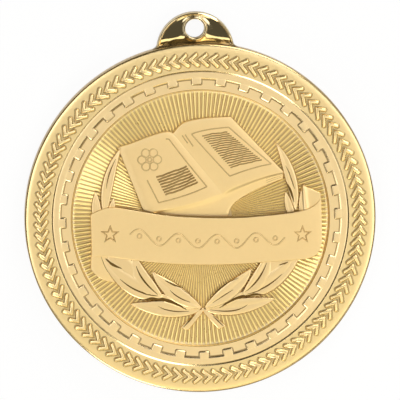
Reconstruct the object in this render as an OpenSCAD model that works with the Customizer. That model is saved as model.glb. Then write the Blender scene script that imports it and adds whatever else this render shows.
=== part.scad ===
// Academic medallion: one die-cast piece with an open book, a ribbon banner and laurel in relief.
// It lies on its back. The face looks up +Z, the hanging ear points to +Y, and the origin is
// the centre of the back. Relief tables give places as shares of the field's radius and heights
// as shares of the relief's height.

/* [Disc] */
// Diameter of the disc, without the ear
disc_d = 50.8; // [44:0.1:76]
// Thickness at the rim, without the chevrons
rim_t = 2.75; // [2.4:0.05:4]
// Width of the smooth rounded margin outside the chevrons
margin_w = 1.2; // [0.8:0.05:2]
// How far the margin falls towards its outer edge
margin_drop = 0.45; // [0.2:0.05:0.8]
// Fullness of the margin's curve: 2 is an ellipse, and more keeps it flat up to a tight edge
margin_fullness = 3.5; // [2:0.1:5]
// Chamfer of the back's edge
back_chamfer = 0.3; // [0.1:0.05:0.6]

/* [Chevron ring] */
// Number of chevrons round the rim
chevron_count = 100; // [80:1:110]
// Width of the ring that the chevrons fill
chevron_w = 2.25; // [1.6:0.05:3]
// Height of a chevron above the rim
chevron_h = 0.25; // [0.1:0.01:0.4]
// Length of a bar along the rim
chevron_bar = 0.85; // [0.5:0.05:1]
// How far the arms trail behind the point
chevron_trail = 1.45; // [0.8:0.05:1.6]
// Angle of the first chevron in degrees
chevron_turn = -1.5; // [-1.8:0.1:1.8]

/* [Terraces] */
// Width of the plain land inside the chevrons
land_w = 0.5; // [0.3:0.05:1]
// Step down from the land to the flat band
band_drop = 0.14; // [0.05:0.01:0.3]
// Width of the flat band
band_w = 1.1; // [0.8:0.05:1.6]
// Number of tabs along the band's inner edge
tab_count = 36; // [24:1:48]
// Width of a tab along the band
tab_w = 1.4; // [1:0.05:1.6]
// Length of a tab towards the centre
tab_l = 0.85; // [0.4:0.05:1.2]
// Step down from the band and its tabs to the shelf
shelf_drop = 0.14; // [0.05:0.01:0.3]
// Width of the shelf between the band and the field, tabs included
shelf_w = 1.7; // [1.4:0.05:2.2]

/* [Field] */
// Depth of the field's floor below the shelf
field_drop = 0.6; // [0.3:0.05:0.9]
// Width of the slope from the shelf down to the floor
slope_w = 0.25; // [0.1:0.05:0.5]
// Number of rays
ray_count = 180; // [120:2:200]
// Height of a ray above the floor
ray_h = 0.14; // [0.05:0.01:0.25]
// Plain ring left between the rays and the slope
ray_gap = 0.12; // [0.05:0.01:0.3]

/* [Relief] */
// Height of the highest relief above the field's floor
relief_h = 0.95; // [0.5:0.05:1.2]
// Radius of a star's points
star_r = 1.3; // [1:0.05:1.6]
// Width of the line that outlines a star
star_line = 0.18; // [0.12:0.01:0.3]
// How far lines, stars and ornaments stand above the surface that carries them
line_h = 0.08; // [0.04:0.01:0.15]
// Width of the frame lines on the pages and of the ornaments' lines
frame_line = 0.2; // [0.1:0.01:0.3]
// Width of a text row on the pages
text_line = 0.16; // [0.1:0.01:0.2]
// Swing of the banner's vine to each side of its middle
vine_swing = 1; // [0.6:0.05:1.3]
// Radius of a berry of the vine
berry_r = 0.4; // [0.25:0.05:0.5]
// Radius of a petal of the rosette
petal_r = 0.7; // [0.4:0.05:0.9]

/* [Ear] */
// Radius of the ear's round outline
ear_r = 5.6; // [4.4:0.1:8]
// How far inside the disc's edge the ear is centred
ear_inset = 1.05; // [0.4:0.05:2]
// Thickness of the ear
ear_t = 1.75; // [1.2:0.05:2]
// Height of the ear's back above the disc's back
ear_lift = 0.3; // [0.1:0.05:0.4]
// Diameter of the hole for the ring or ribbon
hole_d = 2.76; // [2:0.01:3.4]
// Metal left between the hole and the ear's top
hole_wall = 1.02; // [0.7:0.01:1.4]
// Width of the raised ring round the hole
collar_w = 0.45; // [0.3:0.05:0.6]
// Height of the raised ring above the dished face
collar_h = 0.16; // [0.08:0.01:0.25]
// Width of the ear's raised edge
ear_edge_w = 0.7; // [0.4:0.05:0.95]
// Depth of the dish inside the raised edge
ear_dish = 0.25; // [0.1:0.05:0.5]
// Radius of the fillets where the ear meets the disc
ear_fillet = 1; // [0.5:0.1:2]

/* [Hidden] */
$fn = 180;

disc_r = disc_d / 2;
chevron_ro = disc_r - margin_w;
chevron_ri = chevron_ro - chevron_w;
land_ri = chevron_ri - land_w;
band_ri = land_ri - band_w;
tab_ri = band_ri - tab_l;
shelf_ri = band_ri - shelf_w;
field_r = shelf_ri - slope_w;
ray_ro = field_r - ray_gap;

band_z = rim_t - band_drop;
shelf_z = band_z - shelf_drop;
floor_z = shelf_z - field_drop;

ear_y = disc_r - ear_inset;
hole_r = hole_d / 2;
hole_y = ear_y + ear_r - hole_wall - hole_r;

// Place of a chevron's point across the ring, and steps of the rounded edges
chevron_point = 0.55;
arc_steps = 6;
// Hub of the rays as a share of the field's radius, and the raised share of a ray's pitch
ray_hub = 0.25;
ray_open = 0.5;
// Depth to which relief is rooted in the disc, what each next piece adds to it, and how far
// a cut runs past the solid
root = 0.3;
root_step = 0.02;
past = 1;

// Laurel leaves of the right spray, from the crossing upwards: midrib from base over bend to tip,
// half widths on the outer and the inner side, and height of the crests. The left spray mirrors it.
LEAVES = [
    // base_x, base_y, bend_x, bend_y, tip_x,  tip_y, outer, inner, height
    [  0.545, -0.480,  0.640, -0.370,  0.760, -0.215, 0.045, 0.065, 0.50],
    [  0.332, -0.617,  0.590, -0.566,  0.793, -0.272, 0.064, 0.080, 0.58],
    [  0.315, -0.614,  0.476, -0.505,  0.538, -0.245, 0.072, 0.052, 0.66],
    [  0.022, -0.726,  0.283, -0.739,  0.568, -0.660, 0.060, 0.076, 0.60],
    [  0.016, -0.707,  0.253, -0.582,  0.391, -0.413, 0.068, 0.062, 0.74],
    [  0.800, -0.060,  0.815,  0.110,  0.816,  0.238, 0.045, 0.036, 0.56],
    [  0.735, -0.060,  0.690,  0.080,  0.677,  0.186, 0.036, 0.032, 0.52],
    [  0.750,  0.040,  0.744,  0.337,  0.611,  0.576, 0.048, 0.046, 0.74]
];
// Places along the midrib at which a leaf is measured
LEAF_STATIONS = [0, 0.12, 0.25, 0.4, 0.55, 0.7, 0.83, 0.93, 1];
// Section of a leaf: shares of the half width, and of the way from the edge up to the crest.
// A negative share is the root.
LEAF_SECTION = [
    // across, up
    [-1.00, -1.00],
    [-1.00,  0.00],
    [-0.55,  1.00],
    [ 0.00,  0.55],
    [ 0.55,  1.00],
    [ 1.00,  0.00],
    [ 1.00, -1.00]
];
// Height of a leaf's edge as a share of its crest's, and by how much the crest sinks at the ends
leaf_edge = 0.62;
leaf_sag = 0.18;

// Stalk of a spray below the crossing: outline corners on the right side, and its height.
// Its first corner lies past the middle, so that the two stalks overlap.
STALK = [[-0.020, -0.700], [0.045, -0.738], [0.182, -0.864], [0.120, -0.889], [0.008, -0.760]];
stalk_height = 0.45;

// Book: each page is a row of straight ribs from the head edge to the foot edge,
// listed from the spine outwards, with the page's height at each rib
LEFT_PAGE = [
    // head_x, head_y, foot_x, foot_y, height
    [ -0.193,  0.676,  0.176,  0.200, 0.62],
    [ -0.212,  0.685,  0.145,  0.192, 0.72],
    [ -0.245,  0.690,  0.096,  0.176, 0.80],
    [ -0.300,  0.683,  0.000,  0.145, 0.82],
    [ -0.400,  0.653, -0.158,  0.106, 0.78],
    [ -0.515,  0.613, -0.316,  0.080, 0.70],
    [ -0.628,  0.578, -0.432,  0.050, 0.60]
];
RIGHT_PAGE = [
    [ -0.193,  0.676,  0.176,  0.200, 0.62],
    [ -0.172,  0.702,  0.200,  0.212, 0.74],
    [ -0.140,  0.735,  0.240,  0.230, 0.84],
    [ -0.090,  0.765,  0.303,  0.252, 0.88],
    [  0.020,  0.785,  0.420,  0.290, 0.84],
    [  0.150,  0.792,  0.545,  0.324, 0.76],
    [  0.260,  0.790,  0.660,  0.345, 0.66]
];
// Foot of the page block under each page's foot edge, rib by rib
LEFT_BLOCK_FOOT = [
    [0.216, 0.020], [0.190, 0.000], [0.130, -0.020], [0.020, -0.020], [-0.150, -0.010],
    [-0.310, 0.000], [-0.432, 0.030]
];
RIGHT_BLOCK_FOOT = [
    [0.216, 0.020], [0.232, 0.060], [0.260, 0.105], [0.320, 0.150], [0.427, 0.207],
    [0.554, 0.259], [0.655, 0.292]
];
// Height of the blocks, and how far they reach under the pages
block_height = 0.5;
BLOCK_TUCK = [-0.02, 0.03];

// Lines on the pages, in shares across the page from the spine and down it from the head:
// frames as chains of corners, and the ends of the first and the last text row
LEFT_FRAME = [[0.46, 0.09], [0.40, 0.10], [0.31, 0.86], [0.82, 0.90], [0.84, 0.55]];
RIGHT_FRAME = [[0.43, 0.165], [0.87, 0.17], [0.96, 0.84], [0.49, 0.85], [0.43, 0.165]];
LEFT_ROWS = [[[0.75, 0.545], [0.41, 0.52]], [[0.74, 0.81], [0.40, 0.76]]];
RIGHT_ROWS = [[[0.55, 0.235], [0.81, 0.245]], [[0.57, 0.745], [0.90, 0.755]]];
left_row_count = 8;
right_row_count = 17;
line_steps = 4;
// The rosette on the left page: its place in the same shares, its petals and their spread
ROSETTE = [0.74, 0.29];
petal_count = 6;
petal_spread = 1.6;

// Banner, from left to right: upper and lower edge and height
BANNER = [
    // x,     top,    bottom, height
    [-0.858,  0.058, -0.275, 0.80],
    [-0.800,  0.084, -0.268, 0.86],
    [-0.715,  0.107, -0.275, 0.92],
    [-0.600,  0.093, -0.294, 0.95],
    [-0.470,  0.067, -0.315, 0.97],
    [-0.320,  0.037, -0.336, 0.99],
    [-0.170,  0.016, -0.351, 1.00],
    [ 0.000,  0.002, -0.361, 1.00],
    [ 0.170, -0.007, -0.366, 1.00],
    [ 0.310, -0.009, -0.365, 1.00],
    [ 0.430, -0.005, -0.361, 1.00],
    [ 0.580,  0.004, -0.355, 0.99],
    [ 0.720,  0.016, -0.350, 0.97],
    [ 0.820,  0.035, -0.345, 0.94],
    [ 0.890,  0.062, -0.323, 0.90],
    [ 0.930,  0.095, -0.280, 0.85],
    [ 0.952,  0.130, -0.215, 0.80]
];
// Folds of the ribbon behind the banner's two ends, each a strip of straight ribs
LEFT_FOLD = [
    // top_x, top_y,  low_x,  low_y, height
    [-0.858, -0.150, -0.868, -0.375, 0.72],
    [-0.830, -0.150, -0.848, -0.402, 0.74],
    [-0.795, -0.150, -0.810, -0.435, 0.72],
    [-0.760, -0.150, -0.766, -0.456, 0.64],
    [-0.720, -0.200, -0.722, -0.473, 0.50]
];
RIGHT_FOLD = [
    [ 0.806, -0.040,  0.800,  0.200, 0.50],
    [ 0.838, -0.040,  0.818,  0.232, 0.76],
    [ 0.870,  0.000,  0.850,  0.210, 0.64],
    [ 0.920,  0.030,  0.905,  0.186, 0.66],
    [ 0.945,  0.080,  0.948,  0.163, 0.74]
];

// Centres of the two stars, their turn, their inner corners' radius as a share of their points',
// and the height of the banner under them
STARS = [[-0.714, -0.101], [0.798, -0.154]];
star_tilt = -2;
star_waist = 0.42;
star_height = 0.94;
// First and last x of the vine between the stars, its waves, and points along it
VINE = [-0.56, 0.66];
vine_waves = 4;
vine_steps = 64;

// Height of a share of the relief above the floor
function rise(share) = floor_z + share * relief_h;

// Depth of the root of the piece with this number: no two of them lie level
function root_of(number) = root + number * root_step;

// A point given as shares of the field's radius, in millimetres
function place(p) = [p.x * field_r, p.y * field_r];

function mix(a, b, t) = a + (b - a) * t;

// Quadratic curve through a leaf's base and tip, drawn towards its bend
function curve(a, b, c, t) = mix(mix(a, b, t), mix(b, c, t), t);

function unit(v) = v / norm(v);

function left_of(v) = [-v.y, v.x];

// Half width of a leaf along its midrib, as a share of the widest: full near the middle,
// a short neck at the base and a point at the tip
function leaf_swell(t) = 0.06 + 0.94 * pow(sin(180 * pow(t, 0.85)), 0.8);

// Point on a page, in shares across it from the spine and down it from the head
function on_page(page, at) =
    let (
        last = len(page) - 1,
        i = min(floor(at.x * last), last - 1),
        rib = mix(page[i], page[i + 1], at.x * last - i)
    )
    [
        field_r * mix(rib[0], rib[2], at.y),
        field_r * mix(rib[1], rib[3], at.y),
        rise(rib[4])
    ];

// Middle and height of the banner at a place along it
function banner_middle(x) = lookup(x, [for (row = BANNER) [row[0], (row[1] + row[2]) / 2]]);
function banner_height(x) = lookup(x, [for (row = BANNER) [row[0], row[3]]]);

// Triangles between loops of equal length, with both ends closed
module skin(loops) {
    n = len(loops[0]);
    last = len(loops) - 1;
    sides = [
        for (i = [0 : last - 1], j = [0 : n - 1], upper = [0, 1])
            let (a = i * n + j, b = i * n + (j + 1) % n)
                upper == 0 ? [a, b, a + n] : [b, b + n, a + n]
    ];
    ends = [[for (j = [n - 1 : -1 : 0]) j], [for (j = [0 : n - 1]) last * n + j]];
    polyhedron(points = [for (loop = loops) each loop], faces = concat(sides, ends));
}

// Is the strip listed so that its second edge lies to the left of its run?
function runs_left(ribs) =
    let (
        run = [ribs[len(ribs) - 1][0] - ribs[0][0], ribs[len(ribs) - 1][1] - ribs[0][1]],
        rib = [ribs[0][2] - ribs[0][0], ribs[0][3] - ribs[0][1]]
    )
    cross(run, rib) > 0;

// Strip of straight ribs, each from one edge to the other, rooted at a flat depth
module ribbed_slab(ribs, depth) {
    low = floor_z - depth;
    last = len(ribs) - 1;
    ordered = runs_left(ribs) ? ribs : [for (i = [last : -1 : 0]) ribs[i]];
    skin([
        for (rib = ordered)
            let (a = place([rib[0], rib[1]]), b = place([rib[2], rib[3]]), top = rise(rib[4]))
                [[a.x, a.y, low], [a.x, a.y, top], [b.x, b.y, top], [b.x, b.y, low]]
    ]);
}

// Thin raised line along points that lie on a surface
module raised_line(path, width) {
    last = len(path) - 1;
    skin([
        for (i = [0 : last])
            let (
                run = path[min(i + 1, last)] - path[max(i - 1, 0)],
                side = left_of(unit([run.x, run.y])) * width / 2,
                a = [path[i].x, path[i].y] - side,
                b = [path[i].x, path[i].y] + side,
                low = path[i].z - root,
                top = path[i].z + line_h
            )
                [[a.x, a.y, low], [a.x, a.y, top], [b.x, b.y, top], [b.x, b.y, low]]
    ]);
}

// Ring of the ornaments' line width, drawn in the plane
module ring(r) {
    difference() {
        circle(r);
        circle(r - frame_line);
    }
}

// Disc turned from one profile: back, edge, rounded margin, land, band, shelf, slope and floor
module disc() {
    margin_arc = [
        for (i = [arc_steps : -1 : 0])
            let (a = 90 * i / arc_steps, power = 2 / margin_fullness)
                [
                    chevron_ro + margin_w * pow(sin(a), power),
                    rim_t - margin_drop * (1 - pow(cos(a), power))
                ]
    ];
    profile = concat(
        [[0, 0], [disc_r - back_chamfer, 0], [disc_r, back_chamfer]],
        margin_arc,
        [
            [land_ri, rim_t], [land_ri - band_drop, band_z],
            [band_ri, band_z], [band_ri - shelf_drop / 2, shelf_z],
            [shelf_ri, shelf_z], [field_r, floor_z], [0, floor_z]
        ]
    );
    rotate_extrude() polygon(profile);
}

// One chevron in the plane, its point leading anticlockwise and its arms' ends cut square
module chevron() {
    point = mix(chevron_ri, chevron_ro, chevron_point);
    half = chevron_bar / 2;
    rake = 2 * chevron_trail / chevron_w;
    cut = chevron_bar * rake / (1 + rake * rake);
    outer_trail = rake * (chevron_ro - point);
    inner_trail = rake * (point - chevron_ri);
    polygon([
        [point, half], [chevron_ro, half - outer_trail],
        [chevron_ro - cut, rake * cut - half - outer_trail],
        [point, -half], [chevron_ri + cut, rake * cut - half - inner_trail],
        [chevron_ri, half - inner_trail]
    ]);
}

module chevron_ring() {
    translate([0, 0, rim_t - root])
        linear_extrude(root + chevron_h)
            for (i = [0 : chevron_count - 1])
                rotate(360 * i / chevron_count + chevron_turn) chevron();
}

// Tabs of the flat band that reach over the shelf towards the centre
module band_tabs() {
    translate([0, 0, shelf_z - root])
        linear_extrude(root + shelf_drop)
            for (i = [0 : tab_count - 1])
                rotate(90 + 360 * i / tab_count)
                    translate([tab_ri, -tab_w / 2])
                        square([tab_l + land_w, tab_w]);
}

// Rays as one many-pointed plate over the field's floor
module rays() {
    pitch = 360 / ray_count;
    hub_r = ray_hub * field_r;
    outline = [
        for (i = [0 : ray_count - 1], edge = [[-0.5, 1], [0.5, 1], [0.5, 0], [1 / ray_open - 0.5, 0]])
            let (a = (i + 0.5 + edge[0] * ray_open) * pitch, r = edge[1] == 1 ? ray_ro : hub_r)
                [r * cos(a), r * sin(a)]
    ];
    translate([0, 0, floor_z - root])
        linear_extrude(root + ray_h) polygon(outline);
}

// Loop across a leaf at a place along its midrib
function leaf_loop(leaf, t, depth) =
    let (
        a = place([leaf[0], leaf[1]]),
        b = place([leaf[2], leaf[3]]),
        c = place([leaf[4], leaf[5]]),
        on = curve(a, b, c, t),
        side = left_of(unit(mix(b, c, t) - mix(a, b, t))),
        crest = rise(leaf[8] * (1 - leaf_sag * (1 - leaf_swell(t)))),
        edge = mix(floor_z, crest, leaf_edge)
    )
    [
        for (at = LEAF_SECTION)
            let (
                half = (at[0] < 0 ? leaf[6] : leaf[7]) * field_r * leaf_swell(t),
                p = on + side * half * at[0]
            )
                [p.x, p.y, at[1] < 0 ? floor_z - depth : mix(edge, crest, at[1])]
    ];

module leaf(row, depth) {
    skin([for (t = LEAF_STATIONS) leaf_loop(row, t, depth)]);
}

// One spray: its leaves and the stalk below the crossing. The two sprays take turns in depth.
module spray(turn) {
    for (i = [0 : len(LEAVES) - 1])
        leaf(LEAVES[i], root_of(2 * i + turn));
    translate([0, 0, floor_z - root])
        linear_extrude(root + stalk_height * relief_h)
            polygon([for (p = STALK) place(p)]);
}

module laurel() {
    spray(0);
    mirror([1, 0, 0]) spray(1);
}

// Page block: a low body that fills the space from a page's foot edge to the block's foot
module page_block(page, foot, depth) {
    ribbed_slab([
        for (i = [0 : len(page) - 1])
            [page[i][2] + BLOCK_TUCK.x, page[i][3] + BLOCK_TUCK.y, foot[i].x, foot[i].y, block_height]
    ], depth);
}

// Straight line between two places on a page
module page_line(page, from, to, width) {
    raised_line([for (i = [0 : line_steps]) on_page(page, mix(from, to, i / line_steps))], width);
}

// Frame and text rows of a page
module panel(page, frame, rows, count) {
    for (i = [1 : len(frame) - 1])
        page_line(page, frame[i - 1], frame[i], frame_line);
    for (i = [0 : count - 1]) {
        row = mix(rows[0], rows[1], i / (count - 1));
        page_line(page, row[0], row[1], text_line);
    }
}

// Ringed petals about a berry on the left page
module rosette() {
    centre = on_page(LEFT_PAGE, ROSETTE);
    translate([centre.x, centre.y, centre.z - root])
        linear_extrude(root + line_h) {
            circle(petal_r / 2);
            for (i = [0 : petal_count - 1])
                rotate(360 * i / petal_count) translate([petal_spread * petal_r, 0]) ring(petal_r);
        }
}

module book() {
    first = 2 * len(LEAVES);
    page_block(LEFT_PAGE, LEFT_BLOCK_FOOT, root_of(first));
    page_block(RIGHT_PAGE, RIGHT_BLOCK_FOOT, root_of(first + 1));
    ribbed_slab(LEFT_PAGE, root_of(first + 2));
    ribbed_slab(RIGHT_PAGE, root_of(first + 3));
    panel(LEFT_PAGE, LEFT_FRAME, LEFT_ROWS, left_row_count);
    panel(RIGHT_PAGE, RIGHT_FRAME, RIGHT_ROWS, right_row_count);
    rosette();
}

// Five-pointed star drawn as an outline of even width
module star() {
    reach = star_waist * sin(36) / sqrt(1 + star_waist * star_waist - 2 * star_waist * cos(36));
    function corners(r) = [
        for (i = [0 : 9])
            let (a = 90 + 36 * i, s = i % 2 == 0 ? r : r * star_waist) [s * cos(a), s * sin(a)]
    ];
    difference() {
        polygon(corners(star_r));
        polygon(corners(star_r - star_line / reach));
    }
}

module stars() {
    for (p = STARS)
        translate([place(p).x, place(p).y, rise(star_height) - root])
            linear_extrude(root + line_h) rotate(star_tilt) star();
}

// Waving vine between the stars with a ringed berry in each hollow
module vine() {
    function x_at(t) = mix(VINE[0], VINE[1], t);
    function at(t, swing) =
        [x_at(t) * field_r, banner_middle(x_at(t)) * field_r + swing, rise(banner_height(x_at(t)))];
    raised_line([
        for (i = [0 : vine_steps])
            let (t = i / vine_steps) at(t, vine_swing * sin(360 * vine_waves * t))
    ], frame_line);
    for (i = [0 : 2 * vine_waves - 1])
        let (centre = at((i + 0.5) / (2 * vine_waves), 0))
            translate([centre.x, centre.y, centre.z - root])
                linear_extrude(root + line_h) ring(berry_r);
}

// The ribbon's front, its folds behind, and what stands on it
module banner() {
    first = 2 * len(LEAVES) + 4;
    ribbed_slab([for (row = BANNER) [row[0], row[1], row[0], row[2], row[3]]], root_of(first));
    ribbed_slab(LEFT_FOLD, root_of(first + 1));
    ribbed_slab(RIGHT_FOLD, root_of(first + 2));
    stars();
    vine();
}

// Concave corner piece where the ear's outline runs into the disc's edge
module ear_fillet_plate() {
    far = disc_r + ear_fillet;
    near = ear_r + ear_fillet;
    y = (far * far - near * near + ear_y * ear_y) / (2 * ear_y);
    x = sqrt(far * far - y * y);
    centre = [x, y];
    start = atan2(ear_y - y, -x);
    end = atan2(-y, -x);
    sweep = end < start ? end + 360 - start : end - start;
    polygon(concat(
        [[0, ear_y]],
        [
            for (i = [0 : arc_steps])
                let (a = start + sweep * i / arc_steps) centre + ear_fillet * [cos(a), sin(a)]
        ],
        [[x - margin_w, y - 2 * margin_w]]
    ));
}

// Dished ear with a rounded edge, a collar round the hole and the hole itself
module ear() {
    top = ear_lift + ear_t;
    edge_round = ear_edge_w / 2;
    edge_arc = [
        for (i = [0 : arc_steps])
            let (a = 90 * i / arc_steps)
                [ear_r - edge_round * (1 - cos(a)), top - edge_round * (1 - sin(a))]
    ];
    difference() {
        union() {
            translate([0, ear_y, 0])
                rotate_extrude()
                    polygon(concat(
                        [[0, ear_lift], [ear_r - edge_round, ear_lift], [ear_r, ear_lift + edge_round]],
                        edge_arc,
                        [[ear_r - ear_edge_w, top - ear_dish], [0, top - ear_dish]]
                    ));
            translate([0, 0, ear_lift])
                linear_extrude(ear_t - ear_dish) {
                    ear_fillet_plate();
                    mirror([1, 0]) ear_fillet_plate();
                }
            translate([0, hole_y, ear_lift])
                cylinder(h = ear_t - ear_dish + collar_h, r = hole_r + collar_w);
        }
        translate([0, 0, -past]) cylinder(h = rim_t + 2 * past, r = disc_r - margin_w);
        translate([0, hole_y, -past]) cylinder(h = rim_t + 2 * past, r = hole_r);
    }
}

module medallion() {
    color([0.93, 0.78, 0.48]) {
        disc();
        chevron_ring();
        band_tabs();
        rays();
        laurel();
        book();
        banner();
        ear();
    }
}

medallion();
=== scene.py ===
"""Looks of the academic medallion: a gold-plated die-cast medal that lies on its back.

Lengths are millimetres unless a name says otherwise, and MM turns them into Blender's metres.
Places on the relief are shares of the field's radius, and heights on it are shares of the
relief's height above the field's floor.
"""

import logging
import math
from collections.abc import Callable, Iterable, Sequence
from dataclasses import dataclass
from enum import Enum
from functools import partial

import bpy
import numpy as np
from bpy.types import Material, Node, NodeSocket, NodeTree, Object, World
from mathutils import Matrix, Vector
from mathutils.bvhtree import BVHTree


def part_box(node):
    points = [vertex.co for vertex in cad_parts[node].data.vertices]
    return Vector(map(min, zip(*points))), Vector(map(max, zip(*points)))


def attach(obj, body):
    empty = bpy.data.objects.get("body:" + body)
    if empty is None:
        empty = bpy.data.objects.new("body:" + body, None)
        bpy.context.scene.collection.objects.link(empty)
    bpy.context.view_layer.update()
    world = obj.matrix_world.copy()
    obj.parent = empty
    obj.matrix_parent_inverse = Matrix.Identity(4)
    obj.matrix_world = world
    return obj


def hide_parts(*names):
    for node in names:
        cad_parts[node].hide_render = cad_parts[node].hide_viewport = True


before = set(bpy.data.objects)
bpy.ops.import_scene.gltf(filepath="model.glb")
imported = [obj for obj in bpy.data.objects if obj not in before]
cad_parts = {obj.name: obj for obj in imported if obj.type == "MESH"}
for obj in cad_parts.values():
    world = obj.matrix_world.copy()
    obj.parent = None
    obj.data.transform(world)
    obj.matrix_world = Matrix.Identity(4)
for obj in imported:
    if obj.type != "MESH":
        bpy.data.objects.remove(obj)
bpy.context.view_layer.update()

LOG = logging.getLogger("medallion")
BODY = "root"
CAD_NODE = "medallion"
MM = 0.001
MICRON = 1e-6
TINY = 1e-9
# Vertex attribute of painted shade: from 0 where nothing is painted to 1 where the deep colour paints the
# shade of a crease or a wall's foot.
CREASE_SHADE = "crease"
SLOPE = "slope"
LINE_SCALE = "line_scale"

Row = tuple[float, ...]
Table = tuple[Row, ...]


# Shared numbers and curves


@dataclass(frozen=True)
class MedalSizes:
    """Radii and heights that the sub-assemblies share."""

    disc_r: float
    ear_top: float
    chevron_z: float
    chevron_h: float = 0.25
    margin_w: float = 1.2
    margin_drop: float = 0.45
    chevron_w: float = 2.25
    land_w: float = 0.5
    band_drop: float = 0.14
    band_w: float = 1.1
    tab_l: float = 0.85
    shelf_drop: float = 0.14
    shelf_w: float = 1.7
    slope_w: float = 0.25
    field_drop: float = 0.6
    relief_h: float = 0.95
    root: float = 0.3

    @classmethod
    def from_frame(cls) -> "MedalSizes":
        """Reads the medal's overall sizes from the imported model.

        Returns:
            The sizes, with the disc's radius, the ear's top and the full height from the frame.
        """
        low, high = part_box(CAD_NODE)
        return cls(disc_r=high.x / MM, ear_top=high.y / MM, chevron_z=high.z / MM)

    @property
    def rim_z(self) -> float:
        """Height of the land that carries the chevrons."""
        return self.chevron_z - self.chevron_h

    @property
    def chevron_ro(self) -> float:
        """Outer radius of the chevron ring."""
        return self.disc_r - self.margin_w

    @property
    def chevron_ri(self) -> float:
        """Inner radius of the chevron ring."""
        return self.chevron_ro - self.chevron_w

    @property
    def land_ri(self) -> float:
        """Inner radius of the plain land."""
        return self.chevron_ri - self.land_w

    @property
    def band_ri(self) -> float:
        """Inner radius of the flat band, between its tabs."""
        return self.land_ri - self.band_w

    @property
    def shelf_ri(self) -> float:
        """Inner radius of the shelf."""
        return self.band_ri - self.shelf_w

    @property
    def field_r(self) -> float:
        """Radius of the recessed field."""
        return self.shelf_ri - self.slope_w

    @property
    def band_z(self) -> float:
        """Height of the flat band."""
        return self.rim_z - self.band_drop

    @property
    def shelf_z(self) -> float:
        """Height of the shelf."""
        return self.band_z - self.shelf_drop

    @property
    def floor_z(self) -> float:
        """Height of the field's floor."""
        return self.shelf_z - self.field_drop

    def rise(self, share: float) -> float:
        """Height of a share of the relief above the floor."""
        return self.floor_z + share * self.relief_h


def mix(a: float | np.ndarray, b: float | np.ndarray, t: float) -> float | np.ndarray:
    """Value at share t of the way from a to b."""
    return a + (b - a) * t


def bow(start: np.ndarray, bend: np.ndarray, end: np.ndarray, t: float) -> np.ndarray:
    """Point at share t of a curve that leaves start towards bend and comes to end from there."""
    return mix(mix(start, bend, t), mix(bend, end, t), t)


def unit(v: np.ndarray) -> np.ndarray:
    """Vector of length 1 along v."""
    return v / max(float(np.linalg.norm(v)), TINY)


def unit_rows(rows: np.ndarray) -> np.ndarray:
    """Each row turned into a vector of length 1."""
    return rows / np.maximum(np.linalg.norm(rows, axis=1, keepdims=True), TINY)


def spline(rows: Sequence[Row], t: float) -> np.ndarray:
    """Smooth curve through the rows of a table.

    Args:
        rows: the table, one row for each station.
        t: place along it, from 0 at the first row to 1 at the last.

    Returns:
        The row's values at that place.
    """
    table = np.asarray(rows, float)
    last = len(table) - 1
    i = min(int(t * last), last - 1)
    s = t * last - i
    p1 = table[i]
    p2 = table[i + 1]
    p0 = table[i - 1] if i > 0 else 2 * p1 - p2
    p3 = table[i + 2] if i + 2 <= last else 2 * p2 - p1
    bend = 2 * p0 - 5 * p1 + 4 * p2 - p3
    twist = 3 * p1 - p0 - 3 * p2 + p3
    return 0.5 * (2 * p1 + (p2 - p0) * s + bend * s**2 + twist * s**3)


def outset(outline: np.ndarray, distance: float, least_spread: float = 0.2) -> np.ndarray:
    """Moves a closed anticlockwise outline outwards with mitred corners.

    Args:
        outline: corners, one row of x and y each.
        distance: how far each side moves outwards, or inwards where it is negative.
        least_spread: keeps the mitre of a very sharp corner short.

    Returns:
        The moved corners.
    """
    ahead = np.roll(outline, -1, axis=0) - outline
    ahead = ahead / np.linalg.norm(ahead, axis=1, keepdims=True)
    normal = np.stack([ahead[:, 1], -ahead[:, 0]], axis=1)
    before = np.roll(normal, 1, axis=0)
    spread = 1 + np.sum(normal * before, axis=1, keepdims=True)
    return outline + distance * (normal + before) / np.maximum(spread, least_spread)


def arc(centre: Sequence[float], r: float, start: float, end: float, steps: int) -> np.ndarray:
    """Points along an arc.

    Args:
        centre: x and y of its centre.
        r: its radius.
        start: angle of its first point in degrees.
        end: angle of its last point in degrees.
        steps: its segments.

    Returns:
        The points, one row of x and y each.
    """
    angles = np.radians(np.linspace(start, end, steps + 1))
    return np.stack([centre[0] + r * np.cos(angles), centre[1] + r * np.sin(angles)], axis=1)


def mirrored(half: Table) -> Table:
    """Completes a section from its left half.

    Args:
        half: rows of across, up and crease, from the left to the middle row.

    Returns:
        These rows, and the mirror images of all but the middle one.
    """
    return half + tuple((-across, up, crease) for across, up, crease in half[-2::-1])


@dataclass(frozen=True)
class Level:
    """One ring of a raised form: how far outside its outline, its height and its crease tone, which is
    painted shade.
    """

    out: float
    z: float
    crease: float = 0.0


@dataclass(frozen=True)
class Corner:
    """Corner of a turned profile, with its rounding and the crease tone, painted shade, on that rounding."""

    r: float
    z: float
    rounding: float = 0.0
    crease: float = 0.0


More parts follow.
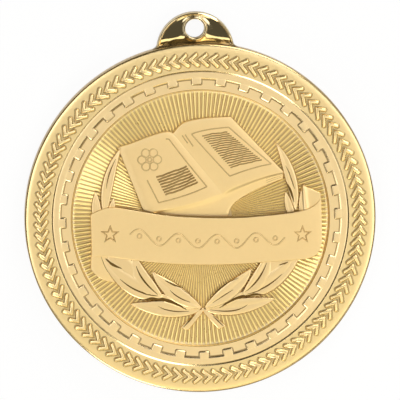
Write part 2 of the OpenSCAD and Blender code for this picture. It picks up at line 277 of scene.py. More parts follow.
def rounded_profile(
    corners: Sequence[Corner],
    steps: int = 5,
    fade: float = 0.06,
    hold: float = 0.02,
    most_of_side: float = 0.45,
) -> np.ndarray:
    """Rounds a profile's corners.

    Args:
        corners: the profile, from the middle of the back round the edge to the middle of the face.
        steps: segments of each rounding.
        fade: distance over which a crease's painted shade fades on both sides of its corner.
        hold: distance of the ring that keeps the flat beside any other corner level.
        most_of_side: the largest share of a side that a rounding takes up.

    Returns:
        Rows of radius, height and crease tone, the painted shade.
    """
    rows: list[tuple[float, float, float]] = []
    for i, corner in enumerate(corners):
        here = np.array([corner.r, corner.z])
        if corner.rounding == 0 or i in (0, len(corners) - 1):
            rows.append((corner.r, corner.z, 0.0))
            continue
        sides = [np.array([corners[k].r, corners[k].z]) - here for k in (i - 1, i + 1)]
        lengths = [float(np.linalg.norm(side)) for side in sides]
        reach = min(corner.rounding, most_of_side * min(lengths))
        margin = fade if corner.crease > 0 else hold
        start, end = (here + unit(side) * reach for side in sides)
        before, after = (
            here + unit(side) * min(reach + margin, length / 2) for side, length in zip(sides, lengths)
        )
        rows.append((*before, 0.0))
        for t in np.linspace(0, 1, steps + 1):
            rows.append((*bow(start, here, end, t), corner.crease))
        rows.append((*after, 0.0))
    return np.array(rows)


# Meshes


class MeshDraft:
    """Closed shells of one piece, collected in millimetres with a crease tone at each vertex: painted shade
    that darkens creases and the feet of walls.

    The built mesh also carries a slope share, from 0 where it is flat to 1 where it is steep.
    """

    FLAT_DEG = 7.0
    STEEP_DEG = 26.0

    def __init__(self) -> None:
        """Starts an empty draft."""
        self.points: list[np.ndarray] = []
        self.creases: list[np.ndarray] = []
        self.faces: list[tuple[int, ...]] = []
        self.count = 0

    def skin(self, loops: np.ndarray, creases: np.ndarray, ring: bool = False) -> None:
        """Adds a closed shell through loops of equal length, with its faces outwards.

        Args:
            loops: loops by points by x, y and z.
            creases: crease tone of each of these points, the painted shade.
            ring: True where the last loop meets the first, else both ends are capped.
        """
        many, size = loops.shape[:2]
        faces: list[tuple[int, ...]] = []
        for i in range(many if ring else many - 1):
            for j in range(size):
                near = i * size
                far = (i + 1) % many * size
                k = (j + 1) % size
                faces.append((near + j, near + k, far + k, far + j))
        if not ring:
            faces.append(tuple(range(size - 1, -1, -1)))
            faces.append(tuple(range((many - 1) * size, many * size)))
        points = loops.reshape(-1, 3)
        if self.volume(points, faces) < 0:
            faces = [face[::-1] for face in faces]
        self.faces += [tuple(self.count + v for v in face) for face in faces]
        self.points.append(points)
        self.creases.append(np.asarray(creases, float).reshape(-1))
        self.count += len(points)

    @staticmethod
    def volume(points: np.ndarray, faces: Iterable[Sequence[int]]) -> float:
        """Signed volume inside a closed shell.

        Args:
            points: the shell's vertices.
            faces: their numbers for each face.

        Returns:
            The volume, positive where the faces point outwards.
        """
        total = 0.0
        centre = points.mean(axis=0)
        for face in faces:
            corners = points[list(face)] - centre
            fan = np.cross(corners[1:-1], corners[2:])
            total += float(np.sum(fan @ corners[0]))
        return total / 6

    def raised(self, outline: np.ndarray, levels: Sequence[Level], ring: bool = False) -> None:
        """Adds a form whose rings follow one flat outline at several heights.

        Args:
            outline: corners of the outline, one row of x and y each.
            levels: the rings, from the root to the top, or once round where ring is True.
            ring: True for a raised band along the outline, else the form is solid.
        """
        ahead = np.roll(outline, -1, axis=0)
        area = float(np.sum(outline[:, 0] * ahead[:, 1] - outline[:, 1] * ahead[:, 0]))
        turned = outline if area > 0 else outline[::-1]
        loops = []
        for level in levels:
            flat = outset(turned, level.out)
            loops.append(np.column_stack([flat, np.full(len(flat), level.z)]))
        creases = np.repeat([[level.crease] for level in levels], len(turned), axis=1)
        self.skin(np.array(loops), creases, ring)

    def build(self, name: str, finish: Material, smooth_deg: float) -> Object:
        """Makes the Blender object of the draft.

        Args:
            name: the piece's name.
            finish: its material.
            smooth_deg: edges that turn by more than this stay sharp.

        Returns:
            The object, at the origin, in metres.
        """
        mesh = bpy.data.meshes.new(name)
        mesh.from_pydata((np.concatenate(self.points) * MM).tolist(), [], self.faces)
        tone = mesh.attributes.new(CREASE_SHADE, "FLOAT", "POINT")
        tone.data.foreach_set("value", np.concatenate(self.creases).astype(np.float32))
        upright = np.array([vertex.normal.z for vertex in mesh.vertices])
        tilt_deg = np.degrees(np.arccos(np.clip(upright, -1, 1)))
        share = np.clip((tilt_deg - self.FLAT_DEG) / (self.STEEP_DEG - self.FLAT_DEG), 0, 1)
        slope = mesh.attributes.new(SLOPE, "FLOAT", "POINT")
        slope.data.foreach_set("value", share.astype(np.float32))
        mesh.shade_smooth()
        mesh.set_sharp_from_angle(angle=math.radians(smooth_deg))
        mesh.materials.append(finish)
        mesh.validate()
        piece = bpy.data.objects.new(name, mesh)
        bpy.context.scene.collection.objects.link(piece)
        return piece


class PathDraft:
    """Open and closed paths on the relief, which a node tree turns into raised lines."""

    TIP_SCALE = 0.15
    TAPER_POWER = 0.7

    def __init__(self) -> None:
        """Starts an empty draft."""
        self.points: list[np.ndarray] = []
        self.scales: list[float] = []
        self.edges: list[tuple[int, int]] = []

    def add(
        self, path: Sequence[np.ndarray], closed: bool = False, scale: float = 1.0, pointed: bool = False
    ) -> None:
        """Adds one path.

        Args:
            path: its points in millimetres.
            closed: True where the last point meets the first.
            scale: share of the lines' width that this one takes.
            pointed: True where its line thins towards both ends.
        """
        first = len(self.points)
        last = len(path) - 1
        self.points += list(path)
        for i in range(last + 1):
            swell = math.sin(math.pi * i / last) ** self.TAPER_POWER if pointed else 1.0
            self.scales.append(scale * mix(self.TIP_SCALE, 1.0, swell))
        self.edges += [(first + i, first + i + 1) for i in range(last)]
        if closed:
            self.edges.append((first + last, first))

    def add_ring(self, centre: np.ndarray, r: float, steps: int) -> None:
        """Adds a level ring.

        Args:
            centre: its centre, x, y and height in millimetres.
            r: its radius.
            steps: its segments.
        """
        flat = arc(centre[:2], r, 0, 360, steps)[:-1]
        self.add([np.array([x, y, centre[2]]) for x, y in flat], closed=True)

    def build(self, name: str) -> Object:
        """Makes an object of bare edges, with the lines' scale at each point.

        Args:
            name: name of the object.

        Returns:
            The object, in metres.
        """
        mesh = bpy.data.meshes.new(name)
        mesh.from_pydata((np.array(self.points) * MM).tolist(), self.edges, [])
        scale = mesh.attributes.new(LINE_SCALE, "FLOAT", "POINT")
        scale.data.foreach_set("value", np.array(self.scales, np.float32))
        wire = bpy.data.objects.new(name, mesh)
        bpy.context.scene.collection.objects.link(wire)
        return wire


def drape(
    path: Sequence[np.ndarray], piece: Object, ground: float, above: float = 10.0, evened: int = 2
) -> list[np.ndarray]:
    """Drops a flat path onto a piece from above.

    Args:
        path: its points, x and y in millimetres.
        piece: the piece.
        ground: height of the points beside the piece.
        above: height from which they drop.
        evened: how many neighbours on each side a height is evened out with.

    Returns:
        The points with their heights on the piece. None is below the piece's surface.
    """
    mesh = piece.data
    tree = BVHTree.FromPolygons([v.co for v in mesh.vertices], [list(f.vertices) for f in mesh.polygons])
    heights = []
    for x, y in path:
        hit = tree.ray_cast(Vector((x * MM, y * MM, above * MM)), Vector((0.0, 0.0, -1.0)))[0]
        heights.append(hit.z / MM if hit else ground)
    smooth = [float(np.mean(heights[max(0, i - evened):i + evened + 1])) for i in range(len(heights))]
    return [np.array([x, y, max(z, level)]) for (x, y), z, level in zip(path, heights, smooth)]


class RimSection:
    """Rounded rim and drafted wall of a raised sheet, as steps outwards and downwards."""

    STEPS: tuple[tuple[float, float], ...] = ((0.0, 0.0), (0.045, 0.012), (0.08, 0.045), (0.1, 0.1))
    WALL_OUT: float = 0.17

    @classmethod
    def below(cls, top: float, ground: float, root: float) -> list[Level]:
        """Rings from the sheet's top down to its root.

        Args:
            top: height of the sheet at this place.
            ground: height of what it stands on.
            root: height at which the hidden wall ends.

        Returns:
            The rings, with the crease tone, painted shade, at the foot of the wall.
        """
        rings = [Level(out, max(top - down, ground), 0.0) for out, down in cls.STEPS]
        rings.append(Level(cls.WALL_OUT, min(ground, top), 1.0))
        rings.append(Level(cls.WALL_OUT, min(root, top), 1.0))
        return rings


def add_sheet(
    draft: MeshDraft,
    at: Callable[[float, float], np.ndarray],
    columns: Sequence[float],
    rows: Sequence[float],
    ground: float,
    root: float,
    tone: Callable[[float, float], float] | None = None,
) -> None:
    """Adds a raised sheet with rounded rims and drafted walls.

    Args:
        draft: the piece that takes it.
        at: point of the sheet at a share along it and a share across it.
        columns: shares along the sheet, from 0 to 1.
        rows: shares across it, from 0 to 1.
        ground: height of what it stands on.
        root: height at which its hidden wall ends.
        tone: painted shade at a share along and a share across, 0 where it is left out.
    """
    def across(u: float, shift: np.ndarray, drop: float) -> tuple[np.ndarray, np.ndarray]:
        """One loop: up the near wall, over the sheet and down the far wall.

        Args:
            u: share along the sheet.
            shift: how far the loop moves, x and y.
            drop: how far it sinks.

        Returns:
            The loop's points and their crease tones, the painted shade.
        """
        grid = [at(u, v) for v in rows]
        walls = []
        for edge, inner in ((grid[0], grid[1]), (grid[-1], grid[-2])):
            outwards = unit((edge - inner)[:2])
            wall = []
            for ring in RimSection.below(edge[2] - drop, ground, root)[1:]:
                wall.append((*(edge[:2] + outwards * ring.out + shift), ring.z, ring.crease))
            walls.append(wall)
        middle = []
        for p, v in zip(grid, rows):
            middle.append((*(p[:2] + shift), max(p[2] - drop, root), tone(u, v) if tone else 0.0))
        loop = np.array(walls[0][::-1] + middle + walls[1])
        return loop[:, :3], loop[:, 3]

    def end_wall(end: float, inner: float) -> list[tuple[np.ndarray, np.ndarray]]:
        """Loops of the wall at one end of the sheet.

        Args:
            end: share along the sheet of that end.
            inner: share of the column beside it.

        Returns:
            The loops with their crease tones, the painted shade, from the sheet outwards.
        """
        side = unit((at(end, 0.5) - at(inner, 0.5))[:2])
        height = at(end, 0.5)[2]
        wall = []
        for ring in RimSection.below(height, ground, root)[1:]:
            points, tones = across(end, side * ring.out, height - ring.z)
            wall.append((points, np.maximum(tones, ring.crease)))
        return wall

    loops = end_wall(columns[0], columns[1])[::-1]
    loops += [across(u, np.zeros(2), 0.0) for u in columns]
    loops += end_wall(columns[-1], columns[-2])
    draft.skin(np.array([points for points, _ in loops]), np.array([tones for _, tones in loops]))


# Node trees


class TreeBuilder:
    """Adds nodes to a tree, with their values and links."""

    def __init__(self, tree: NodeTree) -> None:
        """Keeps the tree that it builds in."""
        self.tree = tree

    def node(self, kind: str, inputs: dict[str | int, object] | None = None, **settings: object) -> Node:
        """Adds one node.

        Args:
            kind: Blender's name of the node's type.
            inputs: value or source socket of each input, by name or number.
            settings: the node's own options.

        Returns:
            The node.
        """
        node = self.tree.nodes.new(kind)
        for name, value in settings.items():
            setattr(node, name, value)
        for key, value in (inputs or {}).items():
            if isinstance(value, NodeSocket):
                self.tree.links.new(value, node.inputs[key])
            else:
                node.inputs[key].default_value = value
        return node

    def math(self, operation: str, *values: object) -> NodeSocket:
        """Adds a Math node and returns its output socket."""
        return self.node("ShaderNodeMath", dict(enumerate(values)), operation=operation).outputs[0]

    def attribute(self, name: str) -> NodeSocket:
        """Adds a shader node that reads one number of the mesh, and returns its output socket."""
        return self.node("ShaderNodeAttribute", attribute_name=name, attribute_type="GEOMETRY").outputs["Fac"]

    def place(self) -> NodeSocket:
        """Adds a shader node that gives the object's own coordinates, and returns its output socket."""
        return self.node("ShaderNodeTexCoord").outputs["Object"]

    def noise(self, place: NodeSocket, scale: object, detail: float, roughness: float = 0.5) -> NodeSocket:
        """Adds a shader's noise.

        Args:
            place: the coordinates that it reads.
            scale: its scale, a number or a socket.
            detail: its octaves.
            roughness: how much its fine octaves count.

        Returns:
            The socket of its level.
        """
        inputs = {"Vector": place, "Scale": scale, "Detail": detail, "Roughness": roughness}
        return self.node("ShaderNodeTexNoise", inputs).outputs[0]


def new_group(name: str, kind: str, inputs: dict[str, str], outputs: dict[str, str]) -> NodeTree:
    """Starts a node group with named sockets.

    Args:
        name: name of the group.
        kind: Blender's type of tree.
        inputs: socket type of each input by name.
        outputs: socket type of each output by name.

    Returns:
        The tree.
    """
    tree = bpy.data.node_groups.new(name, kind)
    for label, socket in inputs.items():
        tree.interface.new_socket(label, in_out="INPUT", socket_type=socket)
    for label, socket in outputs.items():
        tree.interface.new_socket(label, in_out="OUTPUT", socket_type=socket)
    return tree


def end_tree(build: TreeBuilder, made: NodeSocket, finish: NodeSocket) -> None:
    """Ends a geometry tree with Realize Instances and Set Material.

    Args:
        build: the tree's builder.
        made: the geometry.
        finish: the material.
    """
    solid = build.node("GeometryNodeRealizeInstances", {0: made})
    dressed = build.node("GeometryNodeSetMaterial", {"Geometry": solid.outputs[0], "Material": finish})
    build.node("NodeGroupOutput", {0: dressed.outputs[0]})


def polar_array_tree() -> NodeTree:
    """Node tree that repeats a form round the medal's axis.

    Returns:
        The tree, with inputs Form, Count, Start and Finish.
    """
    sockets = {
        "Form": "NodeSocketGeometry",
        "Count": "NodeSocketInt",
        "Start": "NodeSocketFloat",
        "Finish": "NodeSocketMaterial",
    }
    tree = new_group("polar_array", "GeometryNodeTree", sockets, {"Ring": "NodeSocketGeometry"})
    build = TreeBuilder(tree)
    given = build.node("NodeGroupInput").outputs
    spots = build.node(
        "GeometryNodeMeshLine", {"Count": given["Count"], "Offset": (0.0, 0.0, 0.0)}, mode="OFFSET"
    )
    index = build.node("GeometryNodeInputIndex").outputs[0]
    share = build.math("DIVIDE", index, given["Count"])
    angle = build.math("MULTIPLY_ADD", share, math.tau, given["Start"])
    turn = build.node("ShaderNodeCombineXYZ", {"Z": angle})
    rotation = build.node("FunctionNodeEulerToRotation", {0: turn.outputs[0]})
    copies = build.node(
        "GeometryNodeInstanceOnPoints",
        {"Points": spots.outputs[0], "Instance": given["Form"], "Rotation": rotation.outputs[0]},
    )
    end_tree(build, copies.outputs[0], given["Finish"])
    return tree


def raised_line_tree(sides: int = 10) -> NodeTree:
    """Node tree that sweeps a rounded ridge along paths.

    Args:
        sides: corners of the ridge's section.

    Returns:
        The tree, with inputs Paths, Width, Height, Crest and Finish. Crest is the crease tone of
        painted shade on the ridge, and the painted shade at its foot is 1.
    """
    sockets = {
        "Paths": "NodeSocketGeometry",
        "Width": "NodeSocketFloat",
        "Height": "NodeSocketFloat",
        "Crest": "NodeSocketFloat",
        "Finish": "NodeSocketMaterial",
    }
    tree = new_group("raised_line", "GeometryNodeTree", sockets, {"Lines": "NodeSocketGeometry"})
    build = TreeBuilder(tree)
    given = build.node("NodeGroupInput").outputs
    curve = build.node("GeometryNodeMeshToCurve", {0: given["Paths"]})
    upright = build.node("GeometryNodeSetCurveNormal", {"Curve": curve.outputs[0]}, mode="Z_UP")
    circle = {"Resolution": sides, "Radius": 1.0}
    section = build.node("GeometryNodeCurvePrimitiveCircle", circle, mode="RADIUS")
    half = build.math("MULTIPLY", given["Width"], 0.5)
    reach = build.node("ShaderNodeCombineXYZ", {"X": half, "Y": given["Height"], "Z": 1.0})
    sized = build.node("GeometryNodeTransform", {"Geometry": section.outputs[0], "Scale": reach.outputs[0]})
    # Upright normals send the section's Y downwards, so the ridge is where Y is lowest.
    place = build.node("GeometryNodeInputPosition").outputs[0]
    level = build.node("ShaderNodeSeparateXYZ", {0: place}).outputs["Y"]
    lift = build.math("DIVIDE", level, build.math("MULTIPLY", given["Height"], -1.0))
    # Painted shade along each line: 1 at the foot, Crest on the ridge.
    tone = build.node(
        "ShaderNodeMapRange",
        {"Value": lift, "From Min": 0.0, "From Max": 1.0, "To Min": 1.0, "To Max": given["Crest"]},
    )
    marked = build.node(
        "GeometryNodeStoreNamedAttribute",
        {"Geometry": sized.outputs[0], "Name": CREASE_SHADE, "Value": tone.outputs[0]},
        data_type="FLOAT",
        domain="POINT",
    )
    scale = build.node("GeometryNodeInputNamedAttribute", {"Name": LINE_SCALE}, data_type="FLOAT").outputs[0]
    swept = build.node(
        "GeometryNodeCurveToMesh",
        {"Curve": upright.outputs[0], "Profile Curve": marked.outputs[0], "Scale": scale, "Fill Caps": True},
    )
    smooth = build.node("GeometryNodeSetShadeSmooth", {"Geometry": swept.outputs[0], "Shade Smooth": True})
    end_tree(build, smooth.outputs[0], given["Finish"])
    return tree


class NodeWorkshop:
    """Runs the node trees and turns what they make into plain meshes."""

    def __init__(self) -> None:
        """Builds each tree once."""
        self.polar = polar_array_tree()
        self.line = raised_line_tree()

    @staticmethod
    def apply(piece: Object, tree: NodeTree, values: dict[str, object]) -> Object:
        """Replaces a piece's mesh by what a tree makes of it.

        Args:
            piece: the object that the tree starts from.
            tree: the tree.
            values: its inputs by name.

        Returns:
            The piece, with a plain mesh and no modifier.
        """
        modifier = piece.modifiers.new(tree.name, "NODES")
        modifier.node_group = tree
        for item in tree.interface.items_tree:
            if item.in_out == "INPUT" and item.name in values:
                modifier[item.identifier] = values[item.name]
        graph = bpy.context.evaluated_depsgraph_get()
        made = bpy.data.meshes.new_from_object(piece.evaluated_get(graph), depsgraph=graph)
        before = piece.data
        piece.modifiers.clear()
        piece.data = made
        made.name = piece.name
        bpy.data.meshes.remove(before)
        return piece


# Finishes


def start_nodes(owner: Material | World) -> TreeBuilder:
    """Empties the node tree of a material or a world.

    Args:
        owner: the material or world.

    Returns:
        The builder of its tree.
    """
    owner.use_nodes = True
    owner.node_tree.nodes.clear()
    return TreeBuilder(owner.node_tree)


def mottle_and_shade_group(
    cloud_scale: float = 210.0,
    fine_scale: float = 1600.0,
    fine_share: float = 0.5,
    crease_power: float = 1.3,
    least_shade: float = 0.7,
    shade_swing: float = 0.6,
) -> NodeTree:
    """Group that gives the plating's colour: mottled gold, with painted shade that deepens it in the creases.

    Args:
        cloud_scale: scale of the wide clouds.
        fine_scale: scale of the fine ones.
        fine_share: how much the fine ones count.
        crease_power: how fast the painted shade's deep tone fades out of a crease.
        least_shade: share of the painted shade's deep tone where the clouds are lowest.
        shade_swing: what the clouds add to that share of painted shade.

    Returns:
        The group, with inputs Base, Deep and Mottle and output Color. Deep is the painted shade's colour.
    """
    inputs = {"Base": "NodeSocketColor", "Deep": "NodeSocketColor", "Mottle": "NodeSocketFloat"}
    tree = new_group("mottle_and_crease_shade", "ShaderNodeTree", inputs, {"Color": "NodeSocketColor"})
    build = TreeBuilder(tree)
    given = build.node("NodeGroupInput").outputs
    place = build.place()
    cloud = build.noise(place, cloud_scale, detail=3.0)
    fine = build.noise(place, fine_scale, detail=2.0, roughness=0.6)
    blend = build.math("MULTIPLY_ADD", build.math("SUBTRACT", fine, 0.5), fine_share, cloud)
    swing = build.math("MULTIPLY", build.math("SUBTRACT", blend, 0.5), given["Mottle"])
    level = build.math("ADD", swing, 1.0)
    mottled = build.node("ShaderNodeVectorMath", {0: given["Base"], 1: level}, operation="MULTIPLY")
    # Painted shade: the crease attribute mixes in the deep colour, unevenly with the clouds.
    soft = build.math("POWER", build.attribute(CREASE_SHADE), crease_power)
    shade_share = build.math("MULTIPLY", soft, build.math("MULTIPLY_ADD", cloud, shade_swing, least_shade))
    share = build.node("ShaderNodeClamp", {"Value": shade_share})
    colour = build.node(
        "ShaderNodeMix",
        {"Factor": share.outputs[0], 6: mottled.outputs[0], 7: given["Deep"]},
        data_type="RGBA",
    )
    build.node("NodeGroupOutput", {0: colour.outputs[2]})
    return tree


def grain_group(
    wave_scale: float = 420.0,
    wave_height: float = 0.8,
    pit_scale: float = 0.45,
    pit_edge: float = 0.22,
    pit_depth: float = 0.35,
) -> NodeTree:
    """Group that gives the casting's grain: fine blasted noise with small pits on soft waves.

    Args:
        wave_scale: scale of the waves.
        wave_height: their height beside the noise's.
        pit_scale: scale of the pits as a share of the grain's.
        pit_edge: distance from a pit's middle to its rim.
        pit_depth: their depth beside the noise's.

    Returns:
        The group, with input Scale and outputs Height and Mask.
    """
    outputs = {"Height": "NodeSocketFloat", "Mask": "NodeSocketFloat"}
    tree = new_group("cast_grain", "ShaderNodeTree", {"Scale": "NodeSocketFloat"}, outputs)
    build = TreeBuilder(tree)
    given = build.node("NodeGroupInput").outputs
    place = build.place()
    noise = build.noise(place, given["Scale"], detail=4.0, roughness=0.6)
    waves = build.noise(place, wave_scale, detail=2.0)
    close = build.math("MULTIPLY", given["Scale"], pit_scale)
    cells = build.node("ShaderNodeTexVoronoi", {"Vector": place, "Scale": close})
    from_middle = cells.outputs["Distance"]
    pit = build.node("ShaderNodeMapRange", {"Value": from_middle, "From Min": 0.0, "From Max": pit_edge})
    rough = build.math("MULTIPLY_ADD", pit.outputs[0], pit_depth, noise)
    height = build.math("MULTIPLY_ADD", waves, wave_height, rough)
    build.node("NodeGroupOutput", {0: height, 1: noise})
    return tree


def scuff_group(passes: Table = ((24.0, 14.0), (-51.0, 9.0)), sharpness: float = 2.5) -> NodeTree:
    """Group that gives polishing marks: fine streaks that cross.

    Args:
        passes: angle in degrees and stretch of each set of streaks.
        sharpness: how thin the streaks are.

    Returns:
        The group, with input Scale and output Streaks.
    """
    outputs = {"Streaks": "NodeSocketFloat"}
    tree = new_group("polish_scuffs", "ShaderNodeTree", {"Scale": "NodeSocketFloat"}, outputs)
    build = TreeBuilder(tree)
    given = build.node("NodeGroupInput").outputs
    place = build.place()
    streaks = []
    for angle_deg, stretch in passes:
        turned = build.node(
            "ShaderNodeMapping",
            {"Vector": place, "Rotation": (0.0, 0.0, math.radians(angle_deg)), "Scale": (1.0, stretch, 1.0)},
        )
        noise = build.noise(turned.outputs[0], given["Scale"], detail=3.0)
        streaks.append(build.math("POWER", noise, sharpness))
    build.node("NodeGroupOutput", {0: build.math("MAXIMUM", *streaks)})
    return tree


def gloss_group(patch_scale: float = 700.0, least_polish: float = 0.7, polish_swing: float = 0.5) -> NodeTree:
    """Group that gives the polish of the slopes: from 0 on the frosted flats to 1 on steep sides.

    Args:
        patch_scale: scale of the patches that are more or less polished.
        least_polish: polish of a steep side in the dullest patch.
        polish_swing: what the patches add to it.

    Returns:
        The group, with output Gloss.
    """
    tree = new_group("slope_gloss", "ShaderNodeTree", {}, {"Gloss": "NodeSocketFloat"})
    build = TreeBuilder(tree)
    place = build.place()
    patches = build.noise(place, patch_scale, detail=2.0)
    polish = build.math("MULTIPLY_ADD", patches, polish_swing, least_polish)
    mask = build.node("ShaderNodeClamp", {"Value": build.math("MULTIPLY", build.attribute(SLOPE), polish)})
    build.node("NodeGroupOutput", {0: mask.outputs[0]})
    return tree


@dataclass(frozen=True)
class GoldFinish:
    """One finish of the gold plate.

    Colours are linear, and deep is the colour of the painted shade in creases. rough and
    rough_swing give the middle and the spread of the roughness on flats, and edge_rough its
    middle on steep sides. grain_um is the height of the grain in micrometres. scuffed swaps
    the grain's mask for polishing marks, and scuff_share is their scale as a share of the grain's.
    """

    base: tuple[float, float, float]
    deep: tuple[float, float, float]
    rough: float
    rough_swing: float
    edge_rough: float
    mottle: float = 0.06
    grain_scale: float = 2600.0
    grain_um: float = 6.0
    scuffed: bool = False
    scuff_share: float = 0.3

    def material(self, name: str, groups: dict[str, NodeTree]) -> Material:
        """Builds the material.

        Args:
            name: name of the finish.
            groups: the shared node groups by name.

        Returns:
            The material.
        """
        made = bpy.data.materials.new(name)
        build = start_nodes(made)
        colours = {"Base": (*self.base, 1.0), "Deep": (*self.deep, 1.0), "Mottle": self.mottle}
        tone = build.node("ShaderNodeGroup", colours, node_tree=groups["tone"])
        grain = build.node("ShaderNodeGroup", {"Scale": self.grain_scale}, node_tree=groups["grain"])
        mask = grain.outputs["Mask"]
        if self.scuffed:
            scale = {"Scale": self.grain_scale * self.scuff_share}
            mask = build.node("ShaderNodeGroup", scale, node_tree=groups["scuffs"]).outputs["Streaks"]
        swing = build.math("MULTIPLY", build.math("SUBTRACT", mask, 0.5), self.rough_swing)
        gloss = build.node("ShaderNodeGroup", node_tree=groups["gloss"]).outputs["Gloss"]
        middle = build.math("MULTIPLY_ADD", gloss, self.edge_rough - self.rough, self.rough)
        bump = build.node(
            "ShaderNodeBump",
            {"Strength": 1.0, "Distance": self.grain_um * MICRON, "Height": grain.outputs["Height"]},
        )
        gold = build.node(
            "ShaderNodeBsdfPrincipled",
            {
                "Base Color": tone.outputs["Color"],
                "Metallic": 1.0,
                "Roughness": build.math("ADD", swing, middle),
                "Normal": bump.outputs["Normal"],
            },
        )
        build.node("ShaderNodeOutputMaterial", {"Surface": gold.outputs["BSDF"]})
        return made


class Finish(Enum):
    """The finishes that the medal shows."""

    # base, deep (painted shade in creases), rough, rough_swing, edge_rough
    SATIN = GoldFinish((0.93, 0.70, 0.36), (0.32, 0.20, 0.07), 0.52, 0.16, 0.30)
    TERRACE = GoldFinish((0.95, 0.73, 0.40), (0.25, 0.15, 0.045), 0.50, 0.18, 0.18, mottle=0.08)
    RAYS = GoldFinish((1.0, 0.79, 0.34), (0.42, 0.27, 0.075), 0.44, 0.08, 0.28, grain_um=1.2)
    # Paler, less saturated base on the field's slope: painted brightening that stands in for the slope's
    # light reflections.
    SLOPE = GoldFinish((0.95, 0.77, 0.45), (0.28, 0.17, 0.05), 0.50, 0.08, 0.46, grain_um=1.2)
    LEAF = GoldFinish((0.93, 0.70, 0.37), (0.32, 0.18, 0.05), 0.48, 0.12, 0.24, grain_um=3.0)
    # Dark finish of lines that paint shade and shadow: the gap along the banner's upper edge, the leaves'
    # midribs and the slits between them.
    PAINTED_SHADE = GoldFinish((0.40, 0.26, 0.10), (0.16, 0.09, 0.025), 0.45, 0.12, 0.45, grain_um=3.0)
    CHEVRON = GoldFinish((0.98, 0.755, 0.385), (0.24, 0.14, 0.04), 0.46, 0.12, 0.18, grain_um=3.0)
    POLISHED = GoldFinish(
        (0.86, 0.70, 0.42), (0.15, 0.10, 0.035), 0.13, 0.12, 0.13, grain_scale=1800.0, scuffed=True
    )


class FinishShelf:
    """Builds each finish once and hands out its material."""

    def __init__(self) -> None:
        """Builds the shared groups and the materials."""
        groups = {
            "tone": mottle_and_shade_group(),
            "grain": grain_group(),
            "scuffs": scuff_group(),
            "gloss": gloss_group(),
        }
        self.made: dict[Finish, Material] = {}
        for finish in Finish:
            self.made[finish] = finish.value.material(f"gold_{finish.name.lower()}", groups)

    def __getitem__(self, finish: Finish) -> Material:
        """Material of a finish."""
        return self.made[finish]


# Sub-assemblies


@dataclass(frozen=True)
class SubAssembly:
    """What every sub-assembly works with: the medal's sizes, its finishes and the node trees."""

    medal: MedalSizes
    finishes: FinishShelf
    workshop: NodeWorkshop

    def point(self, x: float, y: float, share: float) -> np.ndarray:
        """Point of the relief from shares of the field's radius and of the relief's height."""
        return np.array([x * self.medal.field_r, y * self.medal.field_r, self.medal.rise(share)])

    def dress(self, piece: Object) -> Object:
        """Makes a piece ride on the medal's body.

        Args:
            piece: the piece.

        Returns:
            The same piece.
        """
        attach(piece, BODY)
        return piece

    def lines(
        self, paths: PathDraft, name: str, finish: Finish, width: float, height: float, crest: float
    ) -> Object:
        """Makes raised lines along paths and dresses them.

        Args:
            paths: the paths, on the surface that carries them.
            name: the piece's name.
            finish: its finish.
            width: width of a line in millimetres.
            height: its height above that surface in millimetres.
            crest: painted shade on its ridge.

        Returns:
            The piece.
        """
        material = self.finishes[finish]
        values = {"Width": width * MM, "Height": height * MM, "Crest": crest, "Finish": material}
        return self.dress(self.workshop.apply(paths.build(name), self.workshop.line, values))

    def round_axis(
        self, draft: MeshDraft, name: str, finish: Finish, count: int, start_deg: float, smooth_deg: float
    ) -> Object:
        """Repeats a form round the medal's axis and dresses the result.

        Args:
            draft: the form, at its place on the +X side.
            name: the piece's name.
            finish: its finish.
            count: how many there are.
            start_deg: how far the first one is turned.
            smooth_deg: edges that turn by more than this stay sharp.

        Returns:
            The piece with all of them.
        """
        material = self.finishes[finish]
        values = {"Count": count, "Start": math.radians(start_deg), "Finish": material}
        one = draft.build(name, material, smooth_deg)
        return self.dress(self.workshop.apply(one, self.workshop.polar, values))

    def build(self) -> list[Object]:
        """Builds the sub-assembly's pieces. Each kind has its own way."""
        raise NotImplementedError


